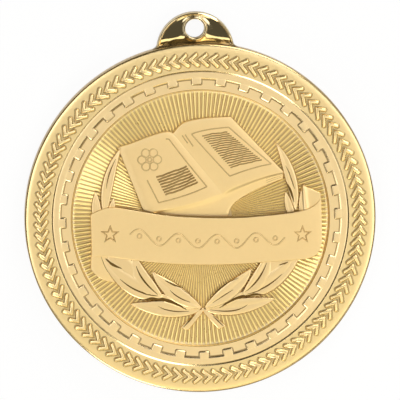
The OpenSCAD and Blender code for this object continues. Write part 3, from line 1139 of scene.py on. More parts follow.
@dataclass(frozen=True)
class DiscBody(SubAssembly):
    """Disc turned from one profile: back, edge, margin, land, band, shelf, slope and floor."""

    segments: int = 432
    back_chamfer: float = 0.3
    back_rounding: float = 0.08
    margin_fullness: float = 2.7
    margin_steps: int = 14
    groove: float = 0.04
    step_w: float = 0.22
    band_step_w: float = 0.28
    shoulder: float = 0.16
    slope_foot: float = 0.24
    # Painted shade: floor_shade darkens the whole field's floor, and rim_shade paints a dark outline along
    # the top of the outer edge.
    floor_shade: float = 0.38
    rim_line: float = 0.15
    rim_shade: float = 0.7
    hub_r: float = 1.5

    def profile(self) -> np.ndarray:
        """Half section of the disc, from the middle of the back to the middle of the face.

        Returns:
            Rows of radius, height and crease tone.
        """
        m = self.medal
        corners = [
            Corner(self.hub_r, 0),
            Corner(m.disc_r - self.back_chamfer, 0, self.back_rounding),
            Corner(m.disc_r, self.back_chamfer, self.back_rounding),
        ]
        power = 2 / self.margin_fullness
        for i in range(self.margin_steps, -1, -1):
            a = math.pi / 2 * i / self.margin_steps
            out = math.sin(a) ** power
            down = 1 - max(math.cos(a), 0.0) ** power
            corners.append(Corner(m.chevron_ro + m.margin_w * out, m.rim_z - m.margin_drop * down))
        foot = m.land_ri - self.step_w / 2
        band_step = self.band_step_w / 2
        slope_middle = mix(m.shelf_z, m.floor_z, 0.5)
        slope_low = mix(m.shelf_z, m.floor_z, 0.75)
        # The crease values of these corners paint shade along the steps' feet and the slope.
        corners += [
            Corner(m.land_ri + self.step_w / 2, m.rim_z, rounding=0.05),
            Corner(foot, m.band_z - self.groove, rounding=0.03, crease=0.6),
            Corner(foot - 3 * self.groove, m.band_z, rounding=0.03),
            Corner(m.band_ri + band_step, m.band_z, rounding=0.05),
            Corner(m.band_ri - band_step, m.shelf_z, rounding=0.08, crease=0.85),
            Corner(m.shelf_ri + self.shoulder, m.shelf_z),
            Corner(m.shelf_ri + self.shoulder / 2, m.shelf_z, rounding=0.05, crease=0.85),
            Corner(m.shelf_ri - self.shoulder / 4, slope_middle, rounding=0.05),
            Corner(m.field_r + self.slope_foot / 2, slope_low, rounding=0.06, crease=0.45),
            Corner(m.field_r - self.slope_foot, m.floor_z, rounding=0.1),
            Corner(self.hub_r, m.floor_z),
        ]
        rows = rounded_profile(corners)
        # Painted shade over the field's floor and along the outer edge's rim.
        low = (rows[:, 0] < m.field_r) & (rows[:, 1] > m.floor_z / 2)
        rows[low, 2] = self.floor_shade
        rim = (rows[:, 0] > m.disc_r - self.rim_line) & (rows[:, 1] > m.rim_z - m.margin_drop)
        rows[rim, 2] = self.rim_shade
        return rows

    def build(self) -> list[Object]:
        """Turns the half section and gives the rim and the slope finishes of their own.

        Returns:
            The piece that stands for the CAD node.
        """
        rows = self.profile()
        angles = np.linspace(0, math.tau, self.segments, endpoint=False)
        loops = np.stack(
            [
                np.outer(rows[:, 0], np.cos(angles)),
                np.outer(rows[:, 0], np.sin(angles)),
                np.repeat(rows[:, 1:2], self.segments, axis=1),
            ],
            axis=2,
        )
        draft = MeshDraft()
        draft.skin(loops, np.repeat(rows[:, 2:3], self.segments, axis=1))
        # The slope's finish has a paler base, painted light on the slope.
        zones = (Finish.TERRACE, Finish.CHEVRON, Finish.SLOPE)
        piece = draft.build("disc", self.finishes[zones[0]], smooth_deg=38)
        for finish in zones[1:]:
            piece.data.materials.append(self.finishes[finish])
        slope_in = (self.medal.field_r - self.slope_foot) * MM
        slope_out = (self.medal.shelf_ri + self.shoulder / 2) * MM
        for face in piece.data.polygons:
            r = face.center.xy.length
            if r > self.medal.land_ri * MM:
                face.material_index = zones.index(Finish.CHEVRON)
            elif slope_in < r < slope_out:
                face.material_index = zones.index(Finish.SLOPE)
        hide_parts(CAD_NODE)
        return [self.dress(piece)]


@dataclass(frozen=True)
class ChevronRing(SubAssembly):
    """Raised chevrons round the rim, their points leading anticlockwise."""

    count: int = 100
    turn_deg: float = -1.5
    bar: float = 0.87
    trail: float = 1.45
    point_share: float = 0.54
    end_rounding: float = 0.24
    end_steps: int = 4
    sink: float = 0.12
    # out, up, crease: millimetres outwards from the outline, share of the height; crease is painted shade
    # along the foot
    levels: Table = (
        (0.15, -1.0, 0.0), (0.15, 0.016, 0.0), (0.06, 0.016, 0.65), (0.02, 0.10, 0.85), (-0.03, 0.55, 0.15),
        (-0.09, 0.86, 0.0), (-0.15, 1.0, 0.0),
    )

    def outline(self) -> np.ndarray:
        """Outline of one chevron with square-cut, rounded ends.

        Returns:
            Its corners: distance from the medal's middle, and place along the rim.
        """
        m = self.medal
        half = self.bar / 2
        point = mix(m.chevron_ri, m.chevron_ro, self.point_share)
        rake = 2 * self.trail / m.chevron_w
        cut = self.bar * rake / (1 + rake**2)
        outer = rake * (m.chevron_ro - point)
        inner = rake * (point - m.chevron_ri)
        # distance from the middle, place along the rim, whether the corner is rounded
        sharp = [
            (point, half, False),
            (m.chevron_ro, half - outer, True),
            (m.chevron_ro - cut, rake * cut - half - outer, True),
            (point, -half, False),
            (m.chevron_ri + cut, rake * cut - half - inner, True),
            (m.chevron_ri, half - inner, True),
        ]
        corners = []
        for i, (r, along, rounded) in enumerate(sharp):
            here = np.array([r, along])
            if not rounded:
                corners.append(here)
                continue
            before = here + unit(np.array(sharp[i - 1][:2]) - here) * self.end_rounding
            after = here + unit(np.array(sharp[(i + 1) % len(sharp)][:2]) - here) * self.end_rounding
            corners += [bow(before, here, after, t) for t in np.linspace(0, 1, self.end_steps + 1)]
        return np.array(corners)

    def build(self) -> list[Object]:
        """Makes one chevron and repeats it round the rim.

        Returns:
            The piece.
        """
        m = self.medal
        rings = []
        for out, up, crease in self.levels:
            z = m.rim_z - self.sink if up < 0 else m.rim_z + up * m.chevron_h
            rings.append(Level(out, z, crease))
        draft = MeshDraft()
        draft.raised(self.outline(), rings)
        return [self.round_axis(draft, "chevrons", Finish.CHEVRON, self.count, self.turn_deg, smooth_deg=60)]


@dataclass(frozen=True)
class BandTabs(SubAssembly):
    """Tabs of the flat band that reach over the shelf towards the centre."""

    count: int = 36
    turn_deg: float = 90.0
    width: float = 1.4
    corner: float = 0.2
    corner_steps: int = 3
    bevel: float = 0.2
    halo: float = 0.05
    # Painted shade: a dark outline round each tab's foot.
    foot_shade: float = 0.9
    lift: float = 0.003
    overlap: float = 0.3
    # inwards, up, crease: shares of the bevel and of the height; crease is painted shade
    bevel_rings: Table = ((0.3, 0.3, 0.6), (0.8, 0.85, 0.0), (1.0, 0.97, 0.0), (1.15, 1.0, 0.0))

    def build(self) -> list[Object]:
        """Makes one tab and repeats it round the band.

        Returns:
            The piece.
        """
        m = self.medal
        near = m.band_ri - m.tab_l - self.bevel / 2
        far = m.band_ri + self.overlap
        half = (self.width + self.bevel) / 2
        inner = half - self.corner
        outline = np.vstack([
            arc((near + self.corner, inner), self.corner, 90, 180, self.corner_steps),
            arc((near + self.corner, -inner), self.corner, 180, 270, self.corner_steps),
            [[far, -half], [far, half]],
        ])
        levels = [
            Level(self.halo, m.shelf_z - m.root, self.foot_shade),
            Level(self.halo, m.shelf_z + self.lift, self.foot_shade),
            Level(0.0, m.shelf_z + 2 * self.lift, self.foot_shade),
        ]
        for inwards, up, crease in self.bevel_rings:
            levels.append(Level(-inwards * self.bevel, mix(m.shelf_z, m.band_z + self.lift, up), crease))
        draft = MeshDraft()
        draft.raised(outline, levels)
        return [self.round_axis(draft, "band_tabs", Finish.TERRACE, self.count, self.turn_deg, smooth_deg=38)]


@dataclass(frozen=True)
class RayField(SubAssembly):
    """Raised rays that fan out over the field's floor."""

    count: int = 180
    turn_deg: float = 1.0
    height: float = 0.14
    hub: float = 0.25
    open_share: float = 0.75
    gap: float = -0.12
    # across, up, crease: shares of the half width and of the height; crease paints shade in the gaps between
    # rays
    section: Table = mirrored((
        (-1.00, -1.00, 0.9), (-1.00, 0.00, 0.9), (-0.70, 0.50, 0.3), (-0.35, 0.90, 0.0), (0.00, 1.00, 0.0),
    ))
    hub_height: float = 0.6
    # distance inside the outer end in millimetres, shares of the full width and height
    end_stations: Table = ((0.3, 1.0, 1.0), (0.08, 0.9, 1.0), (0.0, 0.6, 0.7))

    def build(self) -> list[Object]:
        """Makes one ray and repeats it round the field.

        Returns:
            The piece.
        """
        m = self.medal
        end = m.field_r - self.gap
        stations = [(self.hub * m.field_r, 1.0, self.hub_height), (end / 2, 1.0, 1.0)]
        stations += [(end - inside, wide, high) for inside, wide, high in self.end_stations]
        loops = []
        for r, wide, high in stations:
            half = r * math.tan(math.pi / self.count * self.open_share) * wide
            loop = []
            for across, up, _ in self.section:
                z = m.floor_z - m.root if up < 0 else m.floor_z + up * high * self.height
                loop.append((r, across * half, z))
            loops.append(loop)
        draft = MeshDraft()
        draft.skin(np.array(loops), np.array([[crease for _, _, crease in self.section]] * len(loops)))
        return [self.round_axis(draft, "rays", Finish.RAYS, self.count, self.turn_deg, smooth_deg=60)]


class Follows(Enum):
    """What a ring of the ear follows."""

    BORE = "distance out from the bore's wall"
    FACE = "share of the way from the collar to the edge"
    EDGE = "distance in from the outline"


@dataclass(frozen=True)
class EarRing:
    """One ring of the ear: what it follows, where it lies on that, its height and crease tone, which is
    painted shade.
    """

    follows: Follows
    place: float
    z: float
    crease: float = 0.0


@dataclass(frozen=True)
class HangingEar(SubAssembly):
    """Polished ear with a rounded edge, a dished face, a collar and the bore."""

    radius: float = 5.6
    thickness: float = 1.75
    lift: float = 0.3
    hole_d: float = 2.76
    hole_wall: float = 1.02
    collar_h: float = 0.16
    dish: float = 0.25
    # distance out from the bore, depth below the collar's top, crease (painted shade)
    collar_rings: Table = (
        (0.0, 0.07, 0.0), (0.02, 0.02, 0.0), (0.07, 0.0, 0.0), (0.22, 0.0, 0.0), (0.30, 0.03, 0.0),
        (0.36, 0.17, 0.7), (0.42, 0.19, 0.5),
    )
    face_start: float = 0.48
    face_step: float = 0.03
    face_shares: Row = (0.0, 0.12, 0.25, 0.38, 0.5, 0.62, 0.75, 0.88, 1.0)
    cove: float = 0.06
    cove_power: float = 1.2
    # distance in from the outline, depth below the ear's top
    edge_rings: Table = (
        (0.36, 0.12), (0.30, 0.04), (0.23, 0.0), (0.15, 0.03), (0.08, 0.1), (0.03, 0.21), (0.0, 0.38),
    )
    # distance in from the outline, height above the back
    back_edge_rings: Table = ((0.0, 0.35), (0.05, 0.16), (0.16, 0.04), (0.35, 0.0), (0.42, 0.0))
    # distance out from the bore, height above the back, crease (painted shade)
    back_bore_rings: Table = ((0.2, 0.0, 0.0), (0.1, 0.0, 0.0), (0.03, 0.02, 0.0), (0.0, 0.08, 0.2))
    # width of the edge, the most of a spoke that it takes, and the least slant that it is laid at
    edge_w: float = 0.42
    edge_share: float = 0.42
    least_slant: float = 0.35
    overlap: float = 0.02
    fillet: float = 1.0
    fillet_steps: int = 10
    round_steps: int = 96
    seat: float = 1.0
    seat_steps: int = 44
    foot_w: float = 0.7
    foot_drop: float = 0.35
    # Painted shade where the ear's face sinks into the disc.
    foot_shade: float = 0.9
    foot_shade_w: float = 0.28

    @property
    def centre_y(self) -> float:
        """Place of the ear's centre."""
        return self.medal.ear_top - self.radius

    @property
    def hole_y(self) -> float:
        """Place of the bore's centre."""
        return self.medal.ear_top - self.hole_wall - self.hole_d / 2

    def outline(self) -> np.ndarray:
        """Outline of the ear with its fillets, closed inside the disc.

        Returns:
            Its corners, anticlockwise, one row of x and y each.
        """
        m = self.medal
        far = m.disc_r + self.fillet
        near = self.radius + self.fillet
        y = (far**2 - near**2 + self.centre_y**2) / (2 * self.centre_y)
        x = math.sqrt(far**2 - y**2)
        on_disc = math.degrees(math.atan2(-y, -x))
        on_ear = math.degrees(math.atan2(self.centre_y - y, -x)) % 360
        right = arc((x, y), self.fillet, on_disc % 360, on_ear, self.fillet_steps)
        start = on_ear - 180
        top = arc((0, self.centre_y), self.radius, start, 180 - start, self.round_steps)[1:-1]
        left = right[::-1] * np.array([-1.0, 1.0])
        edge = math.degrees(math.atan2(right[0][1], right[0][0]))
        inside = arc((0, 0), m.disc_r - self.seat, 180 - edge, edge, self.seat_steps)
        return np.vstack([right, top, left, inside])

    def rings(self) -> list[EarRing]:
        """Rings up the bore, over the face and round the edge and the back to the bore again.

        Returns:
            The rings in that order.
        """
        top = self.lift + self.thickness
        face = top - self.dish
        collar = face + self.collar_h
        rings = [EarRing(Follows.BORE, out, collar - down, tone) for out, down, tone in self.collar_rings]
        for share in self.face_shares:
            dip = self.face_step + self.cove * math.sin(math.pi * share) ** self.cove_power
            rings.append(EarRing(Follows.FACE, share, face - dip))
        rings += [EarRing(Follows.EDGE, inside, top - down) for inside, down in self.edge_rings]
        rings += [EarRing(Follows.EDGE, inside, self.lift + up) for inside, up in self.back_edge_rings]
        rings += [EarRing(Follows.BORE, out, self.lift + up, tone) for out, up, tone in self.back_bore_rings]
        return rings

    def build(self) -> list[Object]:
        """Lays the rings on spokes from the bore to the outline.

        Returns:
            The piece.
        """
        outline = self.outline()
        bore = np.array([0.0, self.hole_y])
        bore_r = self.hole_d / 2
        spokes = outline - bore
        reach = np.linalg.norm(spokes, axis=1)
        along = spokes / reach[:, None]
        inwards = outset(outline, -1.0) - outline
        slant = np.clip(-np.sum(unit_rows(inwards) * along, axis=1), self.least_slant, 1.0)
        start = bore_r + self.face_start
        loops = []
        creases = []
        for ring in self.rings():
            inset = ring.place if ring.follows is Follows.EDGE else self.edge_w
            edge = reach - np.minimum(inset / slant, self.edge_share * reach)
            if ring.follows is Follows.BORE:
                r = np.full(len(reach), bore_r + ring.place)
            elif ring.follows is Follows.EDGE:
                r = np.maximum(edge, start - self.overlap)
            else:
                r = mix(start, np.maximum(edge, start), ring.place)
            flat = bore + along * r[:, None]
            level = np.full(len(r), ring.z)
            tone = np.full(len(r), ring.crease)
            if ring.follows is not Follows.BORE and ring.z > self.lift + self.thickness / 2:
                above = np.clip(np.linalg.norm(flat, axis=1) - self.medal.disc_r, 0, None)
                level -= self.foot_drop * np.exp(-((above / self.foot_w) ** 2))
                # Painted shade at the ear's foot beside the disc.
                tone += self.foot_shade * np.exp(-((above / self.foot_shade_w) ** 2))
            loops.append(np.column_stack([flat, level]))
            creases.append(tone)
        draft = MeshDraft()
        draft.skin(np.array(loops), np.array(creases), ring=True)
        return [self.dress(draft.build("hanging_ear", self.finishes[Finish.POLISHED], smooth_deg=50))]


@dataclass(frozen=True)
class Page:
    """One page with the block under it: straight ribs from the head edge to the foot edge."""

    # head_x, head_y, foot_x, foot_y, height
    ribs: Table
    # x and y of the block's foot below each rib
    block_foot: Table
    block_height: float = 0.42
    lip: float = 0.3
    lip_drop: float = 0.1
    lip_share: float = 0.7
    edge_from: float = 0.93
    edge_fall: float = 0.05
    edge_power: float = 1.5

    def at(self, medal: MedalSizes, u: float, v: float) -> np.ndarray:
        """Point of the page.

        Args:
            medal: the shared sizes.
            u: share across the page from the spine.
            v: share down the page from the head. From 1 to 2 it runs down the block.

        Returns:
            The point in millimetres.
        """
        head_x, head_y, foot_x, foot_y, height = spline(self.ribs, u)
        if v <= 1:
            x, y, share = mix(head_x, foot_x, v), mix(head_y, foot_y, v), height
        else:
            low_x, low_y = spline(self.block_foot, u)
            down = v - 1
            x, y = mix(foot_x, low_x, down), mix(foot_y, low_y, down)
            fall = min(1.0, down / self.lip)
            soft = fall * fall * (3 - 2 * fall)
            way = mix(down, soft, self.lip_share)
            share = mix(height, self.block_height + self.lip_drop, way) - self.lip_drop * down * soft
        past = max(0.0, (u - self.edge_from) / (1 - self.edge_from))
        share -= self.edge_fall * past**self.edge_power
        return np.array([x * medal.field_r, y * medal.field_r, medal.rise(share)])


@dataclass(frozen=True)
class OpenBook(SubAssembly):
    """Open book: two smooth pages with their blocks, frames, text rows and a rosette."""

    left: Page = Page(
        ribs=(
            (-0.193, 0.676, 0.176, 0.200, 0.70), (-0.212, 0.685, 0.145, 0.192, 0.745),
            (-0.245, 0.690, 0.096, 0.176, 0.79), (-0.300, 0.683, 0.000, 0.145, 0.81),
            (-0.400, 0.653, -0.158, 0.106, 0.78), (-0.515, 0.613, -0.316, 0.080, 0.73),
            (-0.628, 0.578, -0.432, 0.050, 0.68),
        ),
        edge_fall=0.2,
        block_foot=(
            (0.216, 0.020), (0.190, 0.000), (0.130, -0.020), (0.020, -0.020), (-0.150, -0.010),
            (-0.310, 0.000), (-0.432, 0.030),
        ),
    )
    right: Page = Page(
        ribs=(
            (-0.193, 0.676, 0.176, 0.200, 0.70), (-0.172, 0.702, 0.200, 0.212, 0.76),
            (-0.140, 0.735, 0.240, 0.230, 0.82), (-0.090, 0.765, 0.303, 0.252, 0.85),
            (0.020, 0.785, 0.420, 0.290, 0.83), (0.150, 0.792, 0.545, 0.324, 0.78),
            (0.260, 0.790, 0.660, 0.345, 0.71),
        ),
        block_foot=(
            (0.216, 0.020), (0.232, 0.060), (0.260, 0.105), (0.320, 0.150), (0.427, 0.207),
            (0.554, 0.259), (0.655, 0.292),
        ),
    )
    # Places on a page: share across it from the spine, and share down it from the head. From 1
    # to 2 the share down it runs down the block. First the chains of frame corners, then the
    # ends of the first and last text row, the short marks and the block's lines.
    left_frame: Table = ((0.46, 0.09), (0.40, 0.10), (0.31, 0.86), (0.82, 0.90), (0.84, 0.55))
    right_frame: Table = ((0.43, 0.165), (0.87, 0.17), (0.96, 0.84), (0.49, 0.85), (0.43, 0.165))
    left_rows: tuple[Table, Table] = (((0.75, 0.545), (0.41, 0.52)), ((0.74, 0.81), (0.40, 0.76)))
    right_rows: tuple[Table, Table] = (((0.55, 0.235), (0.81, 0.245)), ((0.57, 0.745), (0.90, 0.755)))
    marks: tuple[Table, ...] = (((0.22, 0.10), (0.20, 0.22)), ((0.30, 0.12), (0.27, 0.30)))
    block_lines: tuple[Table, ...] = (
        ((0.80, 1.30), (0.985, 1.25)), ((0.80, 1.55), (0.985, 1.50)), ((0.80, 1.80), (0.985, 1.75)),
    )
    block_line_share: float = 0.4
    left_row_count: int = 8
    right_row_count: int = 17
    frame_w: float = 0.17
    text_w: float = 0.26
    right_text_share: float = 0.72
    text_steps: int = 24
    line_h: float = 0.06
    text_wave: float = 0.035
    # turns along a row, share of the wave's height, share of the row's own shift
    ripples: Table = ((11.0, 1.0, 1.0), (27.0, 0.6, 2.3))
    row_shift: float = 40.0
    # Painted shade in the gutter and along the left page's outer edge.
    spine_w: float = 0.02
    spine_shade: float = 0.6
    outer_w: float = 0.06
    outer_shade: float = 0.28
    # shares down the block, and extra shares across both pages beside the spine
    block_stations: Row = (1.04, 1.08, 1.14, 1.2, 1.3, 1.5, 1.75, 2.0)
    spine_stations: Row = (0.49, 0.495, 0.505, 0.51)
    page_rows: int = 15
    page_columns: int = 81
    # share across the left page, share down it
    rosette: Row = (0.74, 0.29)
    petals: int = 6
    petal_r: float = 0.7
    petal_spread: float = 1.6
    petal_steps: int = 20
    middle_share: float = 0.5
    ring_inset: float = 0.1

    def surface(self, u: float, v: float) -> np.ndarray:
        """Point of the open book, from the left page's outer edge to the right one's.

        Args:
            u: share across both pages.
            v: share down a page and its block.

        Returns:
            The point in millimetres.
        """
        page = self.left if u < 0.5 else self.right
        return page.at(self.medal, abs(2 * u - 1), 2 * v)

    def shade(self, u: float, v: float) -> float:
        """Painted shade in the gutter, which fades towards the feet, and along the left page's outer edge.

        Args:
            u: share across both pages.
            v: share down a page and its block.

        Returns:
            The tone.
        """
        near = max(0.0, 1 - abs(2 * u - 1) / self.spine_w)
        outer = max(0.0, 1 - u / self.outer_w)
        return self.spine_shade * near * max(0.0, 1 - 2 * v) + self.outer_shade * outer

    def pages(self) -> Object:
        """Makes the two pages with their blocks.

        Returns:
            The piece.
        """
        m = self.medal
        down = [v / 2 for v in (*np.linspace(0, 1, self.page_rows), *self.block_stations)]
        across = sorted({*np.linspace(0, 1, self.page_columns), *self.spine_stations})
        draft = MeshDraft()
        add_sheet(draft, self.surface, across, down, m.floor_z, m.floor_z - m.root, self.shade)
        return self.dress(draft.build("book_pages", self.finishes[Finish.SATIN], smooth_deg=55))

    def path(self, page: Page, start: Row, end: Row, steps: int = 10, wave: float = 0.0) -> list[np.ndarray]:
        """Line on a page between two places.

        Args:
            page: the page.
            start: its first place.
            end: its last place.
            steps: its segments.
            wave: height in millimetres of a small wave across it.

        Returns:
            Its points in millimetres.
        """
        points = []
        row = self.row_shift * start[1]
        for t in np.linspace(0, 1, steps + 1):
            u, v = mix(np.array(start), np.array(end), t)
            point = page.at(self.medal, u, v)
            for turns, high, shift in self.ripples:
                point[1] += wave * high * math.sin(turns * t + shift * row)
            points.append(point)
        return points

    def frames(self) -> Object:
        """Makes the frame lines of both pages, the marks beside the spine and the block's lines.

        Returns:
            The piece.
        """
        paths = PathDraft()
        for page, chain in ((self.left, self.left_frame), (self.right, self.right_frame)):
            for start, end in zip(chain[:-1], chain[1:]):
                paths.add(self.path(page, start, end))
        for ends in self.marks:
            paths.add(self.path(self.right, *ends))
        for ends in self.block_lines:
            paths.add(self.path(self.right, *ends), scale=self.block_line_share)
        # Painted shade along the frame lines, also on their ridges.
        return self.lines(paths, "page_frames", Finish.SATIN, self.frame_w, self.line_h, crest=0.55)

    def text_rows(self) -> Object:
        """Makes the text rows of both pages.

        Returns:
            The piece.
        """
        paths = PathDraft()
        for page, rows, count, scale in (
            (self.left, self.left_rows, self.left_row_count, 1.0),
            (self.right, self.right_rows, self.right_row_count, self.right_text_share),
        ):
            for t in np.linspace(0, 1, count):
                start, end = mix(np.array(rows[0]), np.array(rows[1]), t)
                paths.add(self.path(page, start, end, self.text_steps, self.text_wave), scale=scale)
        # Painted shade over the text rows, nearly full on their ridges.
        return self.lines(paths, "page_text", Finish.SATIN, self.text_w, self.line_h, crest=0.9)

    def rosette_lines(self) -> Object:
        """Makes the ringed petals about a middle ring on the left page.

        Returns:
            The piece.
        """
        centre = self.left.at(self.medal, *self.rosette)
        r = self.petal_r - self.ring_inset
        spread = self.petal_spread * self.petal_r
        paths = PathDraft()
        paths.add_ring(centre, r * self.middle_share, self.petal_steps)
        for i in range(self.petals):
            a = math.tau * i / self.petals
            spot = centre + np.array([spread * math.cos(a), spread * math.sin(a), 0.0])
            paths.add_ring(spot, r, self.petal_steps)
        # Painted shade along the rosette's rings.
        return self.lines(paths, "page_rosette", Finish.SATIN, self.frame_w, self.line_h, crest=0.45)

    def build(self) -> list[Object]:
        """Builds the book's pieces and returns them."""
        return [self.pages(), self.frames(), self.text_rows(), self.rosette_lines()]


@dataclass(frozen=True)
class Banner(SubAssembly):
    """Ribbon across the middle with its folded ends, two stars and a waving vine."""

    # x, top, bottom, height
    front: Table = (
        (-0.858, 0.058, -0.275, 0.80), (-0.800, 0.084, -0.268, 0.86), (-0.715, 0.107, -0.275, 0.92),
        (-0.600, 0.093, -0.294, 0.95), (-0.470, 0.067, -0.315, 0.97), (-0.320, 0.037, -0.336, 0.99),
        (-0.170, 0.016, -0.351, 1.00), (0.000, 0.002, -0.361, 1.00), (0.170, -0.007, -0.366, 1.00),
        (0.310, -0.009, -0.365, 1.00), (0.430, -0.005, -0.361, 1.00), (0.580, 0.004, -0.355, 0.99),
        (0.720, 0.016, -0.350, 0.97), (0.820, 0.035, -0.345, 0.94), (0.890, 0.062, -0.323, 0.90),
        (0.930, 0.095, -0.280, 0.85), (0.952, 0.130, -0.215, 0.80),
    )
    # top_x, top_y, low_x, low_y, height
    left_fold: Table = (
        (-0.858, -0.150, -0.868, -0.375, 0.66), (-0.830, -0.150, -0.848, -0.402, 0.70),
        (-0.785, -0.150, -0.810, -0.435, 0.69), (-0.735, -0.150, -0.762, -0.460, 0.62),
        (-0.660, -0.200, -0.672, -0.482, 0.48),
    )
    right_fold: Table = (
        (0.806, -0.040, 0.800, 0.200, 0.50), (0.838, -0.040, 0.818, 0.232, 0.76),
        (0.870, 0.000, 0.850, 0.210, 0.64), (0.920, 0.030, 0.905, 0.186, 0.66),
        (0.945, 0.080, 0.948, 0.163, 0.74),
    )
    # shares down the ribbon
    ribbon_rows: Row = (0.0, 0.03, 0.1, 0.3, 0.5, 0.7, 0.9, 0.97, 1.0)
    ribbon_columns: int = 97
    fold_rows: int = 7
    fold_columns: int = 25
    # x, y
    stars: Table = ((-0.714, -0.101), (0.798, -0.154))
    star_r: float = 1.3
    star_inset: float = 0.12
    star_points: int = 5
    star_line: float = 0.18
    star_tilt_deg: float = -2.0
    star_waist: float = 0.42
    star_height: float = 0.94
    # out, up, crease: shares of half the line's width and of its height; crease is painted shade
    star_section: Table = ((1.0, 0.0, 1.0), (0.3, 1.0, 0.3), (-0.3, 1.0, 0.3), (-1.0, 0.0, 1.0))
    line_h: float = 0.08
    # Painted shadow along the ribbon's upper edge.
    # first and last x
    shade: Row = (-0.62, 0.80)
    shade_w: float = 0.34
    shade_sink: float = 0.1
    shade_steps: int = 72
    # across and down the left fold at one end, and at the other, of the painted shade line on its crease
    crease: Row = (0.50, 0.40, 0.96, 0.97)
    crease_share: float = 0.32
    crease_steps: int = 24
    # first and last x
    vine: Row = (-0.56, 0.66)
    vine_waves: int = 4
    vine_swing: float = 1.0
    vine_w: float = 0.2
    vine_steps: int = 128
    berry_r: float = 0.4
    berry_inset: float = 0.1
    berry_steps: int = 16

    def surface(self, u: float, v: float) -> np.ndarray:
        """Point of the ribbon's front at a share along it and a share down it."""
        x, top, bottom, height = spline(self.front, u)
        return self.point(x, mix(top, bottom, v), height)

    def along(self, x: float) -> float:
        """Share along the ribbon's front at which it reaches x, a share of the field's radius."""
        places = [row[0] for row in self.front]
        return float(np.interp(x, places, np.linspace(0, 1, len(places))))

    def middle(self, x: float, swing: float = 0.0) -> np.ndarray:
        """Point near the ribbon's middle.

        Args:
            x: its x as a share of the field's radius.
            swing: millimetres above the middle.

        Returns:
            The point in millimetres.
        """
        point = self.surface(self.along(x), 0.5)
        point[0] = x * self.medal.field_r
        point[1] += swing
        return point

    def fold_point(self, fold: Table, u: float, v: float) -> np.ndarray:
        """Point of a fold.

        Args:
            fold: the fold's table.
            u: share across it.
            v: share down it.

        Returns:
            The point in millimetres.
        """
        top_x, top_y, low_x, low_y, height = spline(fold, u)
        return self.point(mix(top_x, low_x, v), mix(top_y, low_y, v), height)

    def ribbon(self) -> Object:
        """Makes the ribbon's front and the folds behind its ends.

        Returns:
            The piece.
        """
        floor = self.medal.floor_z
        root = floor - self.medal.root
        draft = MeshDraft()
        add_sheet(draft, self.surface, np.linspace(0, 1, self.ribbon_columns), self.ribbon_rows, floor, root)
        across = np.linspace(0, 1, self.fold_columns)
        down = np.linspace(0, 1, self.fold_rows)
        for fold in (self.left_fold, self.right_fold):
            add_sheet(draft, partial(self.fold_point, fold), across, down, floor, root)
        return self.dress(draft.build("banner", self.finishes[Finish.SATIN], smooth_deg=55))

    def edge_shade(self) -> Object:
        """Makes the painted shadow in the gap along the ribbon's upper edge, and painted shade along the
        crease of the left fold.

        Returns:
            The piece.
        """
        gap = []
        for x in np.linspace(*self.shade, self.shade_steps + 1):
            point = self.surface(self.along(x), 0.0)
            point[1] += RimSection.WALL_OUT
            point[2] -= self.shade_sink
            gap.append(point)
        first, start, last, end = self.crease
        crease = []
        for t in np.linspace(0, 1, self.crease_steps + 1):
            crease.append(self.fold_point(self.left_fold, mix(first, last, t), mix(start, end, t)))
        paths = PathDraft()
        paths.add(gap, pointed=True)
        paths.add(crease, scale=self.crease_share, pointed=True)
        return self.lines(paths, "banner_shade", Finish.PAINTED_SHADE, self.shade_w, self.line_h, crest=0.6)

    def star_pair(self) -> Object:
        """Makes the two outlined stars.

        Returns:
            The piece.
        """
        m = self.medal
        count = np.arange(2 * self.star_points)
        angles = np.radians(self.star_tilt_deg + 90 + 180 / self.star_points * count)
        r = self.star_r - self.star_inset
        radii = np.where(count % 2 == 0, r, r * self.star_waist)
        outline = np.column_stack([radii * np.cos(angles), radii * np.sin(angles)])
        ground = m.rise(self.star_height)
        half = self.star_line / 2
        levels = [Level(half, ground - m.root, 1.0)]
        for out, up, crease in self.star_section:
            levels.append(Level(out * half, ground + up * self.line_h, crease))
        levels.append(Level(-half, ground - m.root, 1.0))
        draft = MeshDraft()
        for x, y in self.stars:
            draft.raised(outline + np.array([x, y]) * m.field_r, levels, ring=True)
        return self.dress(draft.build("banner_stars", self.finishes[Finish.SATIN], smooth_deg=50))

    def vine_lines(self) -> Object:
        """Makes the waving vine between the stars with a ringed berry in each hollow.

        Returns:
            The piece.
        """
        wave = []
        for t in np.linspace(0, 1, self.vine_steps + 1):
            swing = self.vine_swing * math.sin(math.tau * self.vine_waves * t)
            wave.append(self.middle(mix(*self.vine, t), swing))
        paths = PathDraft()
        paths.add(wave)
        berries = 2 * self.vine_waves
        for i in range(berries):
            centre = self.middle(mix(*self.vine, (i + 0.5) / berries))
            paths.add_ring(centre, self.berry_r - self.berry_inset, self.berry_steps)
        # Painted shade along the vine and the berries' rings.
        return self.lines(paths, "banner_vine", Finish.SATIN, self.vine_w, self.line_h, crest=0.3)

    def build(self) -> list[Object]:
        """Builds the banner's pieces and returns them."""
        return [self.ribbon(), self.edge_shade(), self.star_pair(), self.vine_lines()]


